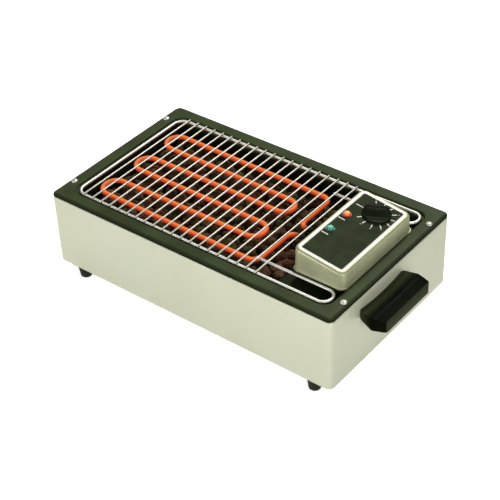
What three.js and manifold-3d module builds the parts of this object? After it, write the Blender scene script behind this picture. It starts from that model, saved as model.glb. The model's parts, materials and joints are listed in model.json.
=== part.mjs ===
// Electric lava stone grill, in millimetres, standing on its feet on z = 0.
// +X runs along the length towards the control box, -Y is the front, +Z is up.
// A sheet steel casing carries an enamelled top frame with a tank under it. Lava stones lie in the
// tank's deep end, the control box with its tubular heating element lifts out of the shelf at the
// other end, and a wire cooking grid lies on the ledge round the opening.
import * as THREE from "three";
import { mergeVertices } from "three/addons/utils/BufferGeometryUtils.js";
import Module from "manifold-3d";

const wasm = await Module();
wasm.setup();

// Clearances and overruns
const seatGap = 0.3;
const holeClearance = 0.3;
const cutOverrun = 5;
const weldDepth = 0.5;
const vertexMerge = 0.0001;

// Casing: a wrap of sheet steel with lips folded inwards at both edges
const caseLength = 550;
const caseWidth = 321;
const caseHeight = 129;
const caseWall = 1.2;
const caseCornerRadius = 10;
const caseBottomLip = 12;
const caseTopLip = 16;
const bottomPanelThickness = 1.5;

// Feet
const footHeight = 26;
const footTopRadius = 13;
const footBottomRadius = 10;
const footEdgeRadius = 2;
const footInsetLength = 41;
const footInsetWidth = 17;
const footBoreRadius = 5;
const footBoreDepth = 9;

// Enamelled tank: flange, ledge for the grid, shelf for the control box, deep end for the stones
const flangeRise = 6;
const flangeThickness = 1.5;
const flangeSkirt = 1.7;
const flangeEdgeRadius = 3.5;
const tankWall = 1.5;
const openingStoneInset = 21.5;
const openingBoxInset = 23;
const openingSideInset = 23.2;
const openingCornerRadius = 19;
const ledgeDrop = 4.5;
const ledgeWidth = 8;
const ledgeEndWidth = 4;
const shelfDepth = 20;
const shelfLength = 105;
const stoneWellDepth = 59;
const stoneWellDraft = 3;

// Screws with domed heads
const flangeScrewEndInset = 10;
const flangeScrewSideInset = 45.5;
const screwHeadRadius = 4.3;
const screwHeadHeight = 2.4;
const screwShankRadius = 2;
const screwRecessWidth = 1.1;
const screwRecessDepth = 1.3;
const screwShoulderShare = 0.88;
const flangeScrewLength = 12;
const footScrewLength = 26;
const handleScrewLength = 5.6;

// Handle: a hollow moulding with a six-sided outline, open underneath for the fingers
const handleReach = 47.6;
const handleKneeReach = 25.4;
const handleRootHalf = 58;
const handleKneeHalf = 64.3;
const handleTipHalf = 57.6;
const handleTopRise = 107.5;
const handleHeight = 22;
const handleRootHeight = 15;
const handleWall = 4;
const handleBackWall = 6;
const handleOffset = 31;
const handleScrewSpacing = 84;
const handleScrewDrop = 8;
const handleTipTrimShare = 0.5;

// Lava stones
const stoneColumns = 13;
const stoneRows = 8;
const stoneTopDrop = 18.5;
const stoneMassThickness = 22;
const stoneHalfHeight = 12.5;
const stoneWidthShare = 0.49;
const stoneSpreadShare = 0.11;
const stoneJitterShare = 0.05;
const stoneFacetShare = 0.16;
const looseWidthShare = 0.35;

// Heating element
const elementRadius = 4;
const elementDrop = 11.7;
const elementSideInset = 38.3;
const elementRunShares = [2.5, 1.5, 0.5];
const elementStoneInset = 23.5;
const elementShelfInset = 85.5;
const crossoverInset = 52;
const elementBendRadius = 14;
const elementTerminalHalf = 11;
const elementTailIn = 12;
const terminalRadius = 1.6;
const terminalLength = 11;
const bushRadius = 8;
const bushThickness = 4;

// Cooking grid
const frameWireRadius = 2.1;
const crossWireRadius = 1.45;
const gridInset = 8.2;
const gridSideInset = 6.3;
const gridCornerRadius = 18;
const loopInset = 7;
const loopWidth = 30;
const loopReturnInset = 49;
const crossWireCount = 20;
const firstCrossWireInset = 18.4;
const lastCrossWireInset = 27.2;
const crossWireOverhang = 3;

// Control box: a drawn cover with a sloping top over a flat tray
const coverLength = 92;
const coverSideInset = 44.3;
const coverInset = 48.8;
const coverBaseDrop = 2;
const coverLowRise = 28.4;
const coverHighRise = 41.1;
const coverDraft = 1;
const coverCornerRadius = 11;
const coverEdgeRadius = 4;
const coverWall = 1.2;
const coverTopThickness = 2.6;
const coverLipReach = 1.8;
const coverLipThickness = 1.2;
const trayClearance = 1.8;
const trayWall = 1.5;
const trayUpstand = 10;
const coverScrewSpacing = 44;
const coverScrewRise = 6.5;
const coverScrewLength = 6;

// Fascia and dial
const fasciaEndInset = 10.4;
const fasciaSideInset = 10.6;
const fasciaThickness = 0.8;
const fasciaCornerRadius = 1.5;
const dialAlong = 6;
const dialEdge = 29.4;
const knobRadius = 22.8;
const knobHeight = 3.4;
const knobEdgeRadius = 1.4;
const ridgeRise = 5.6;
const ridgeCrestHalf = 1.7;
const ridgeFootHalf = 13;
const ridgeEndInset = 2.2;
const ridgeHollowShare = 0.32;
const ridgeArchShare = 1.9;
const knobBoreDepth = 4.8;
const knobLift = 0.8;
const spindleRadius = 3;
const spindleLength = 18;
const knobPointerDegrees = 34;

// Pilot lamps
const lampAlong = 27.6;
const lampDialGap = 30.6;
const lampSpacing = 43.8;
const lensRadius = 6.4;
const lensDome = 5.6;
const lensStem = 3.6;
const lampBodyRadius = 4.6;
const lampBodyLength = 18;

// Thermostat, terminal block and cable gland
const thermostatSide = 34;
const thermostatDepth = 20;
const bushingRadius = 5;
const bushingStand = 2.2;
const nutRadius = 8.4;
const nutThickness = 1.6;
const blockLength = 44;
const blockWidth = 17;
const blockHeight = 14;
const blockAcross = 44;
const blockWireRadius = 2.2;
const blockWireCount = 3;
const blockWirePitch = 12;
const glandRadius = 9;
const glandCollarRadius = 6.6;
const glandBoreRadius = 4.2;
const glandFlange = 2;
const glandRise = 17.5;
const glandAlong = 6;

// Places that follow from the sizes above
const caseBottom = footHeight;
const caseTop = caseBottom + caseHeight;
const flangeTop = caseTop + flangeRise;
const ledgeTop = flangeTop - ledgeDrop;
const shelfTop = flangeTop - shelfDepth;
const wellFloor = flangeTop - stoneWellDepth;
const stoneTop = flangeTop - stoneTopDrop;
const elementHeight = flangeTop - elementDrop;
const coverBase = flangeTop - coverBaseDrop;
const coverMidRise = (coverLowRise + coverHighRise) / 2;
const coverTopSpan = coverLength - 2 * coverDraft;
const coverSlope = (coverHighRise - coverLowRise) / coverTopSpan;
const slopeAngle = Math.atan(coverSlope);
const trayInset = coverWall + trayClearance;
const trayBottom = shelfTop + seatGap;
const endWall = caseLength / 2;
const sideWall = caseWidth / 2;
const handleTop = caseBottom + handleTopRise;
const rimBottom = ledgeTop + seatGap;
const openingLeft = endWall - openingStoneInset;
const openingRight = endWall - openingBoxInset;
const shelfStart = openingRight - shelfLength;
const coverCentre = openingRight - coverInset;
const elementLeftEnd = openingLeft - elementStoneInset;
const elementRightEnd = shelfStart - elementShelfInset;
const elementCrossover = shelfStart - crossoverInset;
const gridLeft = openingLeft - gridInset;
const loopEnd = openingRight - loopInset;
const loopReturn = shelfStart - loopReturnInset;
const firstCrossWire = gridLeft - firstCrossWireInset;
const crossWirePitch = (firstCrossWire + shelfStart - lastCrossWireInset) / (crossWireCount - 1);
const openingHalfWidth = sideWall - openingSideInset;
const elementPitch = (openingHalfWidth - elementSideInset) / elementRunShares[0];
const gridHalfWidth = openingHalfWidth - gridSideInset;
const coverWidth = 2 * (openingHalfWidth - coverSideInset);
const fasciaLength = coverLength - 2 * fasciaEndInset;
const fasciaWidth = coverWidth - 2 * fasciaSideInset;
const dialAcross = fasciaWidth / 2 - dialEdge;
const spindleTop = knobLift + knobBoreDepth - seatGap;
const spindleBottom = spindleTop - spindleLength;
const lampAmberAcross = dialAcross - lampDialGap;
const lampGreenAcross = lampAmberAcross - lampSpacing;

const circleSteps = 18;
const smallCircleSteps = 10;
const wireSides = 8;
const tubeSides = 10;
const bendSteps = 4;
const cornerSteps = 5;

// Finishes: colour, roughness, metalness
const finishes = {
  steel: [0xc9c8b4, 0.32, 1.0],
  enamel: [0x2f3526, 0.22, 0.0],
  wire: [0xd4d6cb, 0.2, 1.0],
  element: [0xe0582a, 0.6, 0.0],
  stone: [0x3a2a20, 0.95, 0.0],
  cover: [0xb9b794, 0.4, 0.6],
  tray: [0x202318, 0.5, 0.4],
  fascia: [0x262c1e, 0.45, 0.0],
  bakelite: [0x14170f, 0.3, 0.0],
  rubber: [0x15170f, 0.8, 0.0],
  zinc: [0xb7b8ae, 0.3, 1.0],
  brass: [0xb08d4a, 0.35, 1.0],
  ceramic: [0xe4dfce, 0.5, 0.0],
  amber: [0xf0702a, 0.15, 0.0],
  green: [0x1f9c78, 0.15, 0.0],
  nylon: [0xd9d5c2, 0.55, 0.0],
};

// Turns a closed geometry into a solid that can be joined and cut.
function toSolid(geometry) {
  const bare = geometry.index ? geometry.toNonIndexed() : geometry.clone();
  bare.deleteAttribute("normal");
  bare.deleteAttribute("uv");
  const merged = mergeVertices(bare, vertexMerge);
  return new wasm.Manifold(
    new wasm.Mesh({
      numProp: 3,
      vertProperties: new Float32Array(merged.attributes.position.array),
      triVerts: new Uint32Array(merged.index.array),
    }),
  );
}

function toGeometry(solid) {
  const made = solid.getMesh();
  const geometry = new THREE.BufferGeometry();
  geometry.setAttribute("position", new THREE.BufferAttribute(made.vertProperties, 3));
  geometry.setIndex(new THREE.BufferAttribute(made.triVerts, 1));
  geometry.computeVertexNormals();
  return geometry;
}

function join(...solids) {
  return solids.reduce((whole, next) => whole.add(next));
}

function cut(whole, ...tools) {
  return tools.reduce((left, tool) => left.subtract(tool), whole);
}

// A rectangle with round corners, centred on (cx, cy).
function roundedRectangle(length, width, radius, cx = 0, cy = 0, steps = cornerSteps) {
  const points = [];
  const corners = [
    [1, 1, 0],
    [-1, 1, 1],
    [-1, -1, 2],
    [1, -1, 3],
  ];
  for (const [sideX, sideY, quarter] of corners) {
    const middleX = cx + sideX * (length / 2 - radius);
    const middleY = cy + sideY * (width / 2 - radius);
    for (let i = 0; i <= steps; i++) {
      const angle = (Math.PI / 2) * (quarter + i / steps);
      points.push(
        new THREE.Vector2(middleX + radius * Math.cos(angle), middleY + radius * Math.sin(angle)),
      );
    }
  }
  return new THREE.Shape(points);
}

// A straight prism of a shape between two heights.
function prism(shape, low, high) {
  const geometry = new THREE.ExtrudeGeometry(shape, { depth: high - low, bevelEnabled: false });
  geometry.translate(0, 0, low);
  return toSolid(geometry);
}

// A prism whose upper edge is rounded. It reaches below low, so that low is a clean cut.
function roundedPrism(shape, low, high, radius) {
  const geometry = new THREE.ExtrudeGeometry(shape, {
    depth: high - low,
    bevelEnabled: true,
    bevelThickness: radius,
    bevelSize: radius,
    bevelOffset: -radius,
    bevelSegments: 3,
  });
  geometry.translate(0, 0, low - radius);
  return geometry;
}

function block(lengthX, widthY, heightZ, cx, cy, low) {
  const geometry = new THREE.BoxGeometry(lengthX, widthY, heightZ);
  geometry.translate(cx, cy, low + heightZ / 2);
  return toSolid(geometry);
}

// An upright cylinder from low to high.
function post(radius, low, high, cx = 0, cy = 0, steps = smallCircleSteps) {
  const geometry = new THREE.CylinderGeometry(radius, radius, high - low, steps);
  geometry.rotateX(Math.PI / 2);
  geometry.translate(cx, cy, (low + high) / 2);
  return toSolid(geometry);
}

// A turned piece: the profile is a list of [radius, height] pairs, turned about +Z.
function turned(profile, steps = circleSteps) {
  const points = profile.map(([radius, height]) => new THREE.Vector2(radius, height));
  const geometry = new THREE.LatheGeometry(points, steps);
  geometry.rotateX(Math.PI / 2);
  return toSolid(geometry);
}

// A path through stations that keeps each station, so bends are fine and straights have one step.
class StationPath extends THREE.Curve {
  constructor(stations) {
    super();
    this.stations = stations;
  }

  getPoint(t, target = new THREE.Vector3()) {
    const last = this.stations.length - 1;
    const index = Math.min(Math.floor(t * last + Number.EPSILON), last - 1);
    return target.lerpVectors(this.stations[index], this.stations[index + 1], t * last - index);
  }

  getPointAt(t, target) {
    return this.getPoint(t, target);
  }

  getTangentAt(t, target = new THREE.Vector3()) {
    const last = this.stations.length - 1;
    const index = Math.round(t * last);
    const here = this.stations[index];
    const before = this.stations[Math.max(index - 1, 0)];
    const after = this.stations[Math.min(index + 1, last)];
    const arriving = new THREE.Vector3().subVectors(here, before).normalize();
    const leaving = new THREE.Vector3().subVectors(after, here).normalize();
    return target.addVectors(arriving, leaving).normalize();
  }
}

// Stations along straight runs joined by round bends. Each corner is [x, y, radius] at one height.
function bentStations(corners, height) {
  const stations = [];
  corners.forEach(([x, y, radius], i) => {
    const corner = new THREE.Vector2(x, y);
    if (i === 0 || i === corners.length - 1) {
      stations.push(new THREE.Vector3(x, y, height));
      return;
    }
    const previous = new THREE.Vector2(corners[i - 1][0], corners[i - 1][1]);
    const next = new THREE.Vector2(corners[i + 1][0], corners[i + 1][1]);
    const back = previous.sub(corner).normalize();
    const ahead = next.sub(corner).normalize();
    const centre = corner.clone().addScaledVector(back, radius).addScaledVector(ahead, radius);
    for (let step = 0; step <= bendSteps; step++) {
      const angle = (Math.PI / 2) * (step / bendSteps);
      const point = centre
        .clone()
        .addScaledVector(ahead, -radius * Math.cos(angle))
        .addScaledVector(back, -radius * Math.sin(angle));
      stations.push(new THREE.Vector3(point.x, point.y, height));
    }
  });
  return stations.filter((point, i) => i === 0 || point.distanceTo(stations[i - 1]) > seatGap);
}

// A round rod swept along stations.
function rod(stations, radius, sides) {
  const points = [];
  for (let i = 0; i < sides; i++) {
    const angle = (2 * Math.PI * (i + 0.5)) / sides;
    points.push(new THREE.Vector2(radius * Math.cos(angle), radius * Math.sin(angle)));
  }
  const geometry = new THREE.ExtrudeGeometry(new THREE.Shape(points), {
    extrudePath: new StationPath(stations),
    steps: stations.length - 1,
    bevelEnabled: false,
  });
  return toSolid(geometry);
}

// A small generator of repeatable numbers from 0 to 1.
function numberStream(seed) {
  let state = seed;
  return () => {
    state = (Math.imul(state, 1664525) + 1013904223) >>> 0;
    return state / 4294967296;
  };
}

const grill = new THREE.Group();

function addPiece(parent, name, piece, finish) {
  const [color, roughness, metalness] = finishes[finish];
  const geometry = piece instanceof THREE.BufferGeometry ? piece : toGeometry(piece);
  const material = new THREE.MeshStandardMaterial({ color, roughness, metalness });
  const mesh = new THREE.Mesh(geometry, material);
  mesh.name = name;
  parent.add(mesh);
  return mesh;
}

const ends = [
  ["left", -1],
  ["right", 1],
];
const sides = [
  ["front", -1],
  ["rear", 1],
];

// The casing's outline, drawn in by a distance.
function caseOutline(inset) {
  return roundedRectangle(
    caseLength - 2 * inset,
    caseWidth - 2 * inset,
    Math.max(caseCornerRadius - inset, seatGap),
  );
}

function flangeScrewPlace(end, side) {
  return [end * (endWall - flangeScrewEndInset), side * (sideWall - flangeScrewSideInset)];
}

function footPlace(end, side) {
  return [end * (endWall - footInsetLength), side * (sideWall - footInsetWidth)];
}

// Screw holes of the handle, as places on the end wall.
function handleScrewPlaces() {
  const height = handleTop - handleScrewDrop;
  return sides.map(([name, side]) => [name, (side * handleScrewSpacing) / 2 - handleOffset, height]);
}

// A level hole along X, or along Y when turned.
function levelHole(radius, length, x, y, z, alongY = false) {
  const geometry = new THREE.CylinderGeometry(radius, radius, length, circleSteps);
  if (!alongY) geometry.rotateZ(Math.PI / 2);
  geometry.translate(x, y, z);
  return toSolid(geometry);
}

function makeCasing() {
  let casing = prism(caseOutline(0), caseBottom, caseTop);
  casing = cut(
    casing,
    prism(caseOutline(caseWall), caseBottom + caseWall, caseTop - caseWall),
    prism(caseOutline(caseWall + caseBottomLip), caseBottom - cutOverrun, caseTop - caseWall),
    prism(caseOutline(caseWall + caseTopLip), caseBottom + caseWall, caseTop + cutOverrun),
  );
  const holeRadius = screwShankRadius + holeClearance;
  for (const [, end] of ends) {
    for (const [, side] of sides) {
      const [x, y] = flangeScrewPlace(end, side);
      casing = cut(casing, post(holeRadius, caseTop - cutOverrun, caseTop + cutOverrun, x, y));
    }
  }
  for (const [, y, z] of handleScrewPlaces()) {
    casing = cut(casing, levelHole(holeRadius, 2 * cutOverrun, endWall, y, z));
  }
  return casing;
}

function makeBottomPanel() {
  const low = caseBottom + caseWall + seatGap;
  let panel = prism(caseOutline(caseWall + seatGap), low, low + bottomPanelThickness);
  for (const [, end] of ends) {
    for (const [, side] of sides) {
      const [x, y] = footPlace(end, side);
      const radius = screwShankRadius + holeClearance;
      panel = cut(panel, post(radius, low - cutOverrun, low + cutOverrun, x, y));
    }
  }
  return panel;
}

// A tapered foot with a rounded lower edge and a stepped bore for its screw.
function makeFoot() {
  const boreRadius = screwShankRadius + holeClearance;
  const top = footHeight - seatGap;
  const profile = [[footBoreRadius, 0]];
  for (let i = 0; i <= 3; i++) {
    const angle = (Math.PI / 2) * (i / 3);
    profile.push([
      footBottomRadius - footEdgeRadius + footEdgeRadius * Math.sin(angle),
      footEdgeRadius - footEdgeRadius * Math.cos(angle),
    ]);
  }
  profile.push([footTopRadius, top], [boreRadius, top]);
  profile.push([boreRadius, footBoreDepth], [footBoreRadius, footBoreDepth], [footBoreRadius, 0]);
  return turned(profile, circleSteps);
}

// A screw along Z with its head up: the underside of the head is at zero.
function makeScrew(length) {
  const profile = [
    [0, -length],
    [screwShankRadius, -length],
    [screwShankRadius, 0],
    [screwHeadRadius, 0],
    [screwHeadRadius, screwHeadHeight / 2],
    [screwHeadRadius * Math.SQRT1_2, screwHeadHeight * screwShoulderShare],
    [0, screwHeadHeight],
  ];
  const body = turned(profile, smallCircleSteps);
  const slot = 2 * screwHeadRadius * Math.SQRT1_2;
  const low = screwHeadHeight - screwRecessDepth;
  return cut(
    body,
    block(slot, screwRecessWidth, cutOverrun, 0, 0, low),
    block(screwRecessWidth, slot, cutOverrun, 0, 0, low),
  );
}

// The outline of the tank's opening, drawn in at the sides, the stone end and the control end.
function openingOutline(inset, endInset = inset) {
  const length = openingLeft + openingRight - inset - endInset;
  const middle = (openingRight - endInset - (openingLeft - inset)) / 2;
  return roundedRectangle(
    length,
    2 * (openingHalfWidth - inset),
    openingCornerRadius - inset,
    middle,
    0,
  );
}

// The outline of the deep end, which stops where the shelf starts.
function wellOutline(inset) {
  const left = openingLeft - ledgeWidth - inset;
  const right = shelfStart - inset;
  return roundedRectangle(
    left + right,
    2 * (openingHalfWidth - ledgeWidth - inset),
    openingCornerRadius - ledgeWidth,
    (right - left) / 2,
    0,
  );
}

// The top frame: a flange with a skirt outside and a rim that stands on the tank's ledge.
function makeTopFrame() {
  const skirtBottom = caseTop + seatGap;
  const above = flangeTop + cutOverrun;
  const edged = toSolid(roundedPrism(caseOutline(0), skirtBottom, flangeTop, flangeEdgeRadius));
  let frame = cut(
    edged,
    block(2 * caseLength, 2 * caseWidth, caseHeight, 0, 0, skirtBottom - caseHeight),
    prism(caseOutline(flangeSkirt), skirtBottom - cutOverrun, flangeTop - flangeThickness),
  );
  frame = cut(
    join(frame, prism(openingOutline(-tankWall), rimBottom, flangeTop - flangeThickness)),
    prism(openingOutline(0), skirtBottom, above),
  );
  for (const [, end] of ends) {
    for (const [, side] of sides) {
      const [x, y] = flangeScrewPlace(end, side);
      frame = cut(frame, post(screwShankRadius + holeClearance, skirtBottom, above, x, y));
    }
  }
  return frame;
}

// The tank: the ledge under the frame's rim, the shelf and the deep end.
function makeTank() {
  const pocket = [ledgeWidth, ledgeEndWidth];
  const pocketBack = pocket.map((inset) => inset - tankWall);
  const tank = join(
    prism(openingOutline(-tankWall), ledgeTop - tankWall, ledgeTop),
    prism(openingOutline(...pocketBack), shelfTop - tankWall, ledgeTop),
    prism(wellOutline(stoneWellDraft - tankWall), wellFloor - tankWall, shelfTop),
  );
  return cut(
    tank,
    prism(openingOutline(...pocket), shelfTop, flangeTop),
    prism(wellOutline(stoneWellDraft), wellFloor, flangeTop),
  );
}

// The plan of a handle, drawn in by a distance, with the wall end kept at a given reach.
function handlePlan(inset, root) {
  const shorten = inset * handleTipTrimShare;
  return new THREE.Shape([
    new THREE.Vector2(root, -(handleRootHalf - inset)),
    new THREE.Vector2(handleKneeReach, -(handleKneeHalf - inset)),
    new THREE.Vector2(handleReach - inset, -(handleTipHalf - inset + shorten)),
    new THREE.Vector2(handleReach - inset, handleTipHalf - inset + shorten),
    new THREE.Vector2(handleKneeReach, handleKneeHalf - inset),
    new THREE.Vector2(root, handleRootHalf - inset),
  ]);
}

// A handle whose wall face is at x = 0 and whose top is at z = 0.
function makeHandle() {
  const outer = prism(handlePlan(0, seatGap), -handleHeight, 0);
  const underside = new THREE.Shape([
    new THREE.Vector2(-cutOverrun, -handleRootHeight),
    new THREE.Vector2(handleKneeReach, -handleHeight),
    new THREE.Vector2(handleKneeReach, -handleHeight - cutOverrun),
    new THREE.Vector2(-cutOverrun, -handleHeight - cutOverrun),
  ]);
  const wedge = new THREE.ExtrudeGeometry(underside, { depth: 4 * handleKneeHalf, bevelEnabled: false });
  wedge.translate(0, 0, -2 * handleKneeHalf);
  wedge.rotateX(Math.PI / 2);
  let handle = cut(
    outer,
    toSolid(wedge),
    prism(handlePlan(handleWall, handleBackWall), -handleHeight - cutOverrun, -handleWall),
  );
  const radius = screwShankRadius + holeClearance;
  for (const side of [-1, 1]) {
    const y = (side * handleScrewSpacing) / 2;
    handle = cut(handle, levelHole(radius, 2 * handleBackWall, 0, y, -handleScrewDrop));
  }
  return handle;
}

// One rough stone: a twenty-sided form with its corners pushed in and out.
function makeStone(radius, halfHeight, cx, cy, cz, random) {
  const geometry = new THREE.IcosahedronGeometry(1, 0);
  const merged = mergeVertices(geometry.deleteAttribute("normal").deleteAttribute("uv"), vertexMerge);
  const corners = merged.attributes.position;
  const turn = 2 * Math.PI * random();
  for (let i = 0; i < corners.count; i++) {
    const grow = 1 - stoneFacetShare * random();
    corners.setXYZ(i, corners.getX(i) * grow, corners.getY(i) * grow, corners.getZ(i) * grow);
  }
  merged.scale(radius, radius, halfHeight);
  merged.rotateZ(turn);
  merged.translate(cx, cy, cz);
  merged.computeVertexNormals();
  merged.computeBoundingBox();
  return merged;
}

// The deep end's floor is shared out in cells, one for each stone on top.
function stoneCell() {
  const length = openingLeft - ledgeWidth + shelfStart - 2 * stoneWellDraft;
  const width = 2 * (openingHalfWidth - ledgeWidth - stoneWellDraft);
  return [length / stoneColumns, width / stoneRows];
}

function stonePlaces() {
  const [cellLength, cellWidth] = stoneCell();
  const places = [];
  for (let row = 0; row < stoneRows; row++) {
    for (let column = 0; column < stoneColumns; column++) {
      places.push([
        shelfStart - stoneWellDraft - (stoneColumns - column - 0.5) * cellLength,
        (row - (stoneRows - 1) / 2) * cellWidth,
        column,
        row,
      ]);
    }
  }
  return places;
}

// Some stones lie loose on the bed, the rest are packed together as one mass.
function isLoose(column, row) {
  return column % 4 === 2 && row % 3 === 1;
}

function addStones(parent) {
  const random = numberStream(7);
  const low = wellFloor + seatGap;
  const massTop = low + stoneMassThickness;
  const cell = Math.min(...stoneCell());
  let bed = prism(wellOutline(stoneWellDraft + seatGap), low, massTop);
  let number = 0;
  const looseHalf = (stoneTop - massTop - seatGap) / 2;
  for (const [x, y, column, row] of stonePlaces()) {
    if (isLoose(column, row)) {
      number += 1;
      const stone = makeStone(looseWidthShare * cell, looseHalf, x, y, stoneTop - looseHalf, random);
      stone.translate(0, 0, massTop + seatGap - stone.boundingBox.min.z);
      addPiece(parent, "lava_stone_" + String(number).padStart(2, "0"), stone, "stone");
      continue;
    }
    const radius = stoneWidthShare * cell * (1 - stoneSpreadShare * random());
    const dx = stoneJitterShare * cell * (random() - 0.5);
    const dy = stoneJitterShare * cell * (random() - 0.5);
    const stone = makeStone(radius, stoneHalfHeight, x + dx, y + dy, stoneTop - stoneHalfHeight, random);
    bed = bed.add(toSolid(stone));
  }
  addPiece(parent, "lava_stone_bed", bed, "stone");
}

function elementCorners() {
  const tail = coverCentre - coverLength / 2 + trayInset + trayWall + elementTailIn;
  const runs = elementRunShares.map((share) => share * elementPitch);
  const bend = elementPitch / 2;
  const half = [
    [tail, elementTerminalHalf, 0],
    [elementCrossover, elementTerminalHalf, elementBendRadius],
    [elementCrossover, runs[0], elementBendRadius],
    [-elementLeftEnd, runs[0], bend],
    [-elementLeftEnd, runs[1], bend],
    [elementRightEnd, runs[1], bend],
    [elementRightEnd, runs[2], bend],
    [-elementLeftEnd, runs[2], bend],
  ];
  const otherHalf = half.map(([x, y, radius]) => [x, -y, radius]).reverse();
  return [...half, ...otherHalf];
}

function makeGrid() {
  const frameHeight = ledgeTop + seatGap + frameWireRadius;
  const loopRadius = loopWidth / 2;
  const half = [
    [loopReturn, gridHalfWidth - loopWidth, 0],
    [loopEnd, gridHalfWidth - loopWidth, loopRadius],
    [loopEnd, gridHalfWidth, loopRadius],
    [-gridLeft, gridHalfWidth, gridCornerRadius],
  ];
  const corners = [...half, ...half.map(([x, y, radius]) => [x, -y, radius]).reverse()];
  let grid = rod(bentStations(corners, frameHeight), frameWireRadius, wireSides);
  const crossHeight = frameHeight + frameWireRadius + crossWireRadius - weldDepth;
  const reach = gridHalfWidth + crossWireOverhang;
  for (let i = 0; i < crossWireCount; i++) {
    const x = -firstCrossWire + i * crossWirePitch;
    const wire = [
      new THREE.Vector3(x, -reach, crossHeight),
      new THREE.Vector3(x, reach, crossHeight),
    ];
    grid = grid.add(rod(wire, crossWireRadius, wireSides));
  }
  return grid;
}

// The cover's form: it tapers upwards and its top falls towards the control end.
function coverForm(inset, topDrop) {
  const length = coverLength - 2 * inset;
  const width = coverWidth - 2 * inset;
  const edge = Math.max(coverEdgeRadius - inset, seatGap);
  const outline = roundedRectangle(length, width, coverCornerRadius - inset);
  const geometry = roundedPrism(outline, 0, coverMidRise - topDrop, edge);
  const points = geometry.attributes.position;
  for (let i = 0; i < points.count; i++) {
    const rise = points.getZ(i);
    const share = rise / coverMidRise;
    const x = points.getX(i) * (1 - (2 * coverDraft * share) / length);
    const y = points.getY(i) * (1 - (2 * coverDraft * share) / width);
    points.setXYZ(i, x, y, rise - coverSlope * x * share);
  }
  geometry.translate(coverCentre, 0, coverBase);
  return toSolid(geometry);
}

// Puts a solid made about the fascia's middle, with +Z out of it, on the sloping top.
const topGroupHeight = coverBase + coverMidRise;
const topFrame = new THREE.Matrix4()
  .makeTranslation(coverCentre, 0, topGroupHeight)
  .multiply(new THREE.Matrix4().makeRotationY(slopeAngle));

function onTop(solid) {
  const geometry = toGeometry(solid);
  geometry.applyMatrix4(topFrame);
  return toSolid(geometry);
}

const lamps = [
  ["amber", lampAmberAcross],
  ["green", lampGreenAcross],
];

function fasciaHoles(clearance) {
  const depth = coverTopThickness + cutOverrun;
  const holes = lamps.map(([, across]) =>
    post(lampBodyRadius + clearance, -depth, cutOverrun, -lampAlong, across),
  );
  holes.push(post(bushingRadius + clearance, -depth, cutOverrun, dialAlong, dialAcross));
  return holes;
}

function coverScrewPlaces() {
  return ends.map(([name, end]) => [name, (end * coverScrewSpacing) / 2]);
}

function coverScrewHoles() {
  const radius = screwShankRadius + 2 * holeClearance;
  const height = coverBase + coverScrewRise;
  return coverScrewPlaces().map(([, along]) =>
    levelHole(radius, coverWidth / 4, coverCentre + along, coverWidth / 2, height, true),
  );
}

function makeCover() {
  const lip = prism(
    roundedRectangle(
      coverLength + 2 * coverLipReach,
      coverWidth + 2 * coverLipReach,
      coverCornerRadius + coverLipReach,
      coverCentre,
      0,
    ),
    coverBase,
    coverBase + coverLipThickness,
  );
  const below = block(caseLength, caseWidth, caseHeight, coverCentre, 0, coverBase - caseHeight);
  let cover = cut(join(coverForm(0, 0), lip), below, coverForm(coverWall, coverTopThickness));
  const recessDepth = fasciaThickness + seatGap;
  const recess = roundedRectangle(
    fasciaLength + 2 * seatGap,
    fasciaWidth + 2 * seatGap,
    fasciaCornerRadius + seatGap,
  );
  cover = cut(
    cover,
    onTop(prism(recess, -recessDepth, cutOverrun)),
    ...fasciaHoles(holeClearance).map(onTop),
    levelHole(
      glandCollarRadius + holeClearance, coverWidth / 2, coverCentre + glandAlong, coverWidth / 2,
      coverBase + glandRise, true,
    ),
  );
  for (const hole of coverScrewHoles()) cover = cut(cover, hole);
  return cover;
}

function makeTray() {
  const outline = (inset) =>
    roundedRectangle(
      coverLength - 2 * (trayInset + inset),
      coverWidth - 2 * (trayInset + inset),
      coverCornerRadius - trayInset - inset,
      coverCentre,
      0,
    );
  const top = coverBase + trayUpstand;
  let tray = cut(
    prism(outline(0), trayBottom, top),
    prism(outline(trayWall), trayBottom + trayWall, top + cutOverrun),
  );
  const wallX = coverCentre - coverLength / 2 + trayInset;
  for (const [, side] of sides) {
    const y = side * elementTerminalHalf;
    tray = cut(tray, levelHole(elementRadius + holeClearance, 2 * cutOverrun, wallX, y, elementHeight));
  }
  for (const hole of coverScrewHoles()) tray = cut(tray, hole);
  return tray;
}

function makeFascia() {
  const outline = roundedRectangle(fasciaLength, fasciaWidth, fasciaCornerRadius);
  const plate = prism(outline, -fasciaThickness, 0);
  return onTop(cut(plate, ...fasciaHoles(holeClearance)));
}

// A ring round each end of the element, against the outside of the tray.
function makeBush(y) {
  const wallX = coverCentre - coverLength / 2 + trayInset;
  const geometry = new THREE.CylinderGeometry(bushRadius, bushRadius, bushThickness, circleSteps);
  geometry.rotateZ(Math.PI / 2);
  geometry.translate(wallX - seatGap - bushThickness / 2, y, elementHeight);
  const hole = levelHole(elementRadius + holeClearance, 4 * bushThickness, wallX, y, elementHeight);
  return cut(toSolid(geometry), hole);
}

function makeTerminal(y) {
  const start = elementCorners()[0][0] + seatGap;
  const stations = [
    new THREE.Vector3(start, y, elementHeight),
    new THREE.Vector3(start + terminalLength, y, elementHeight),
  ];
  return rod(stations, terminalRadius, wireSides);
}

// The thermostat hangs under the cover's top, and its bushing comes up through the fascia.
function makeThermostat() {
  const top = -coverTopThickness - seatGap;
  const body = block(
    thermostatSide, thermostatSide, thermostatDepth, dialAlong, dialAcross, top - thermostatDepth,
  );
  const bushing = post(bushingRadius, top - weldDepth, bushingStand, dialAlong, dialAcross);
  const bore = post(
    spindleRadius + holeClearance, spindleBottom - seatGap, cutOverrun, dialAlong, dialAcross,
  );
  return onTop(cut(join(body, bushing), bore));
}

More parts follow.
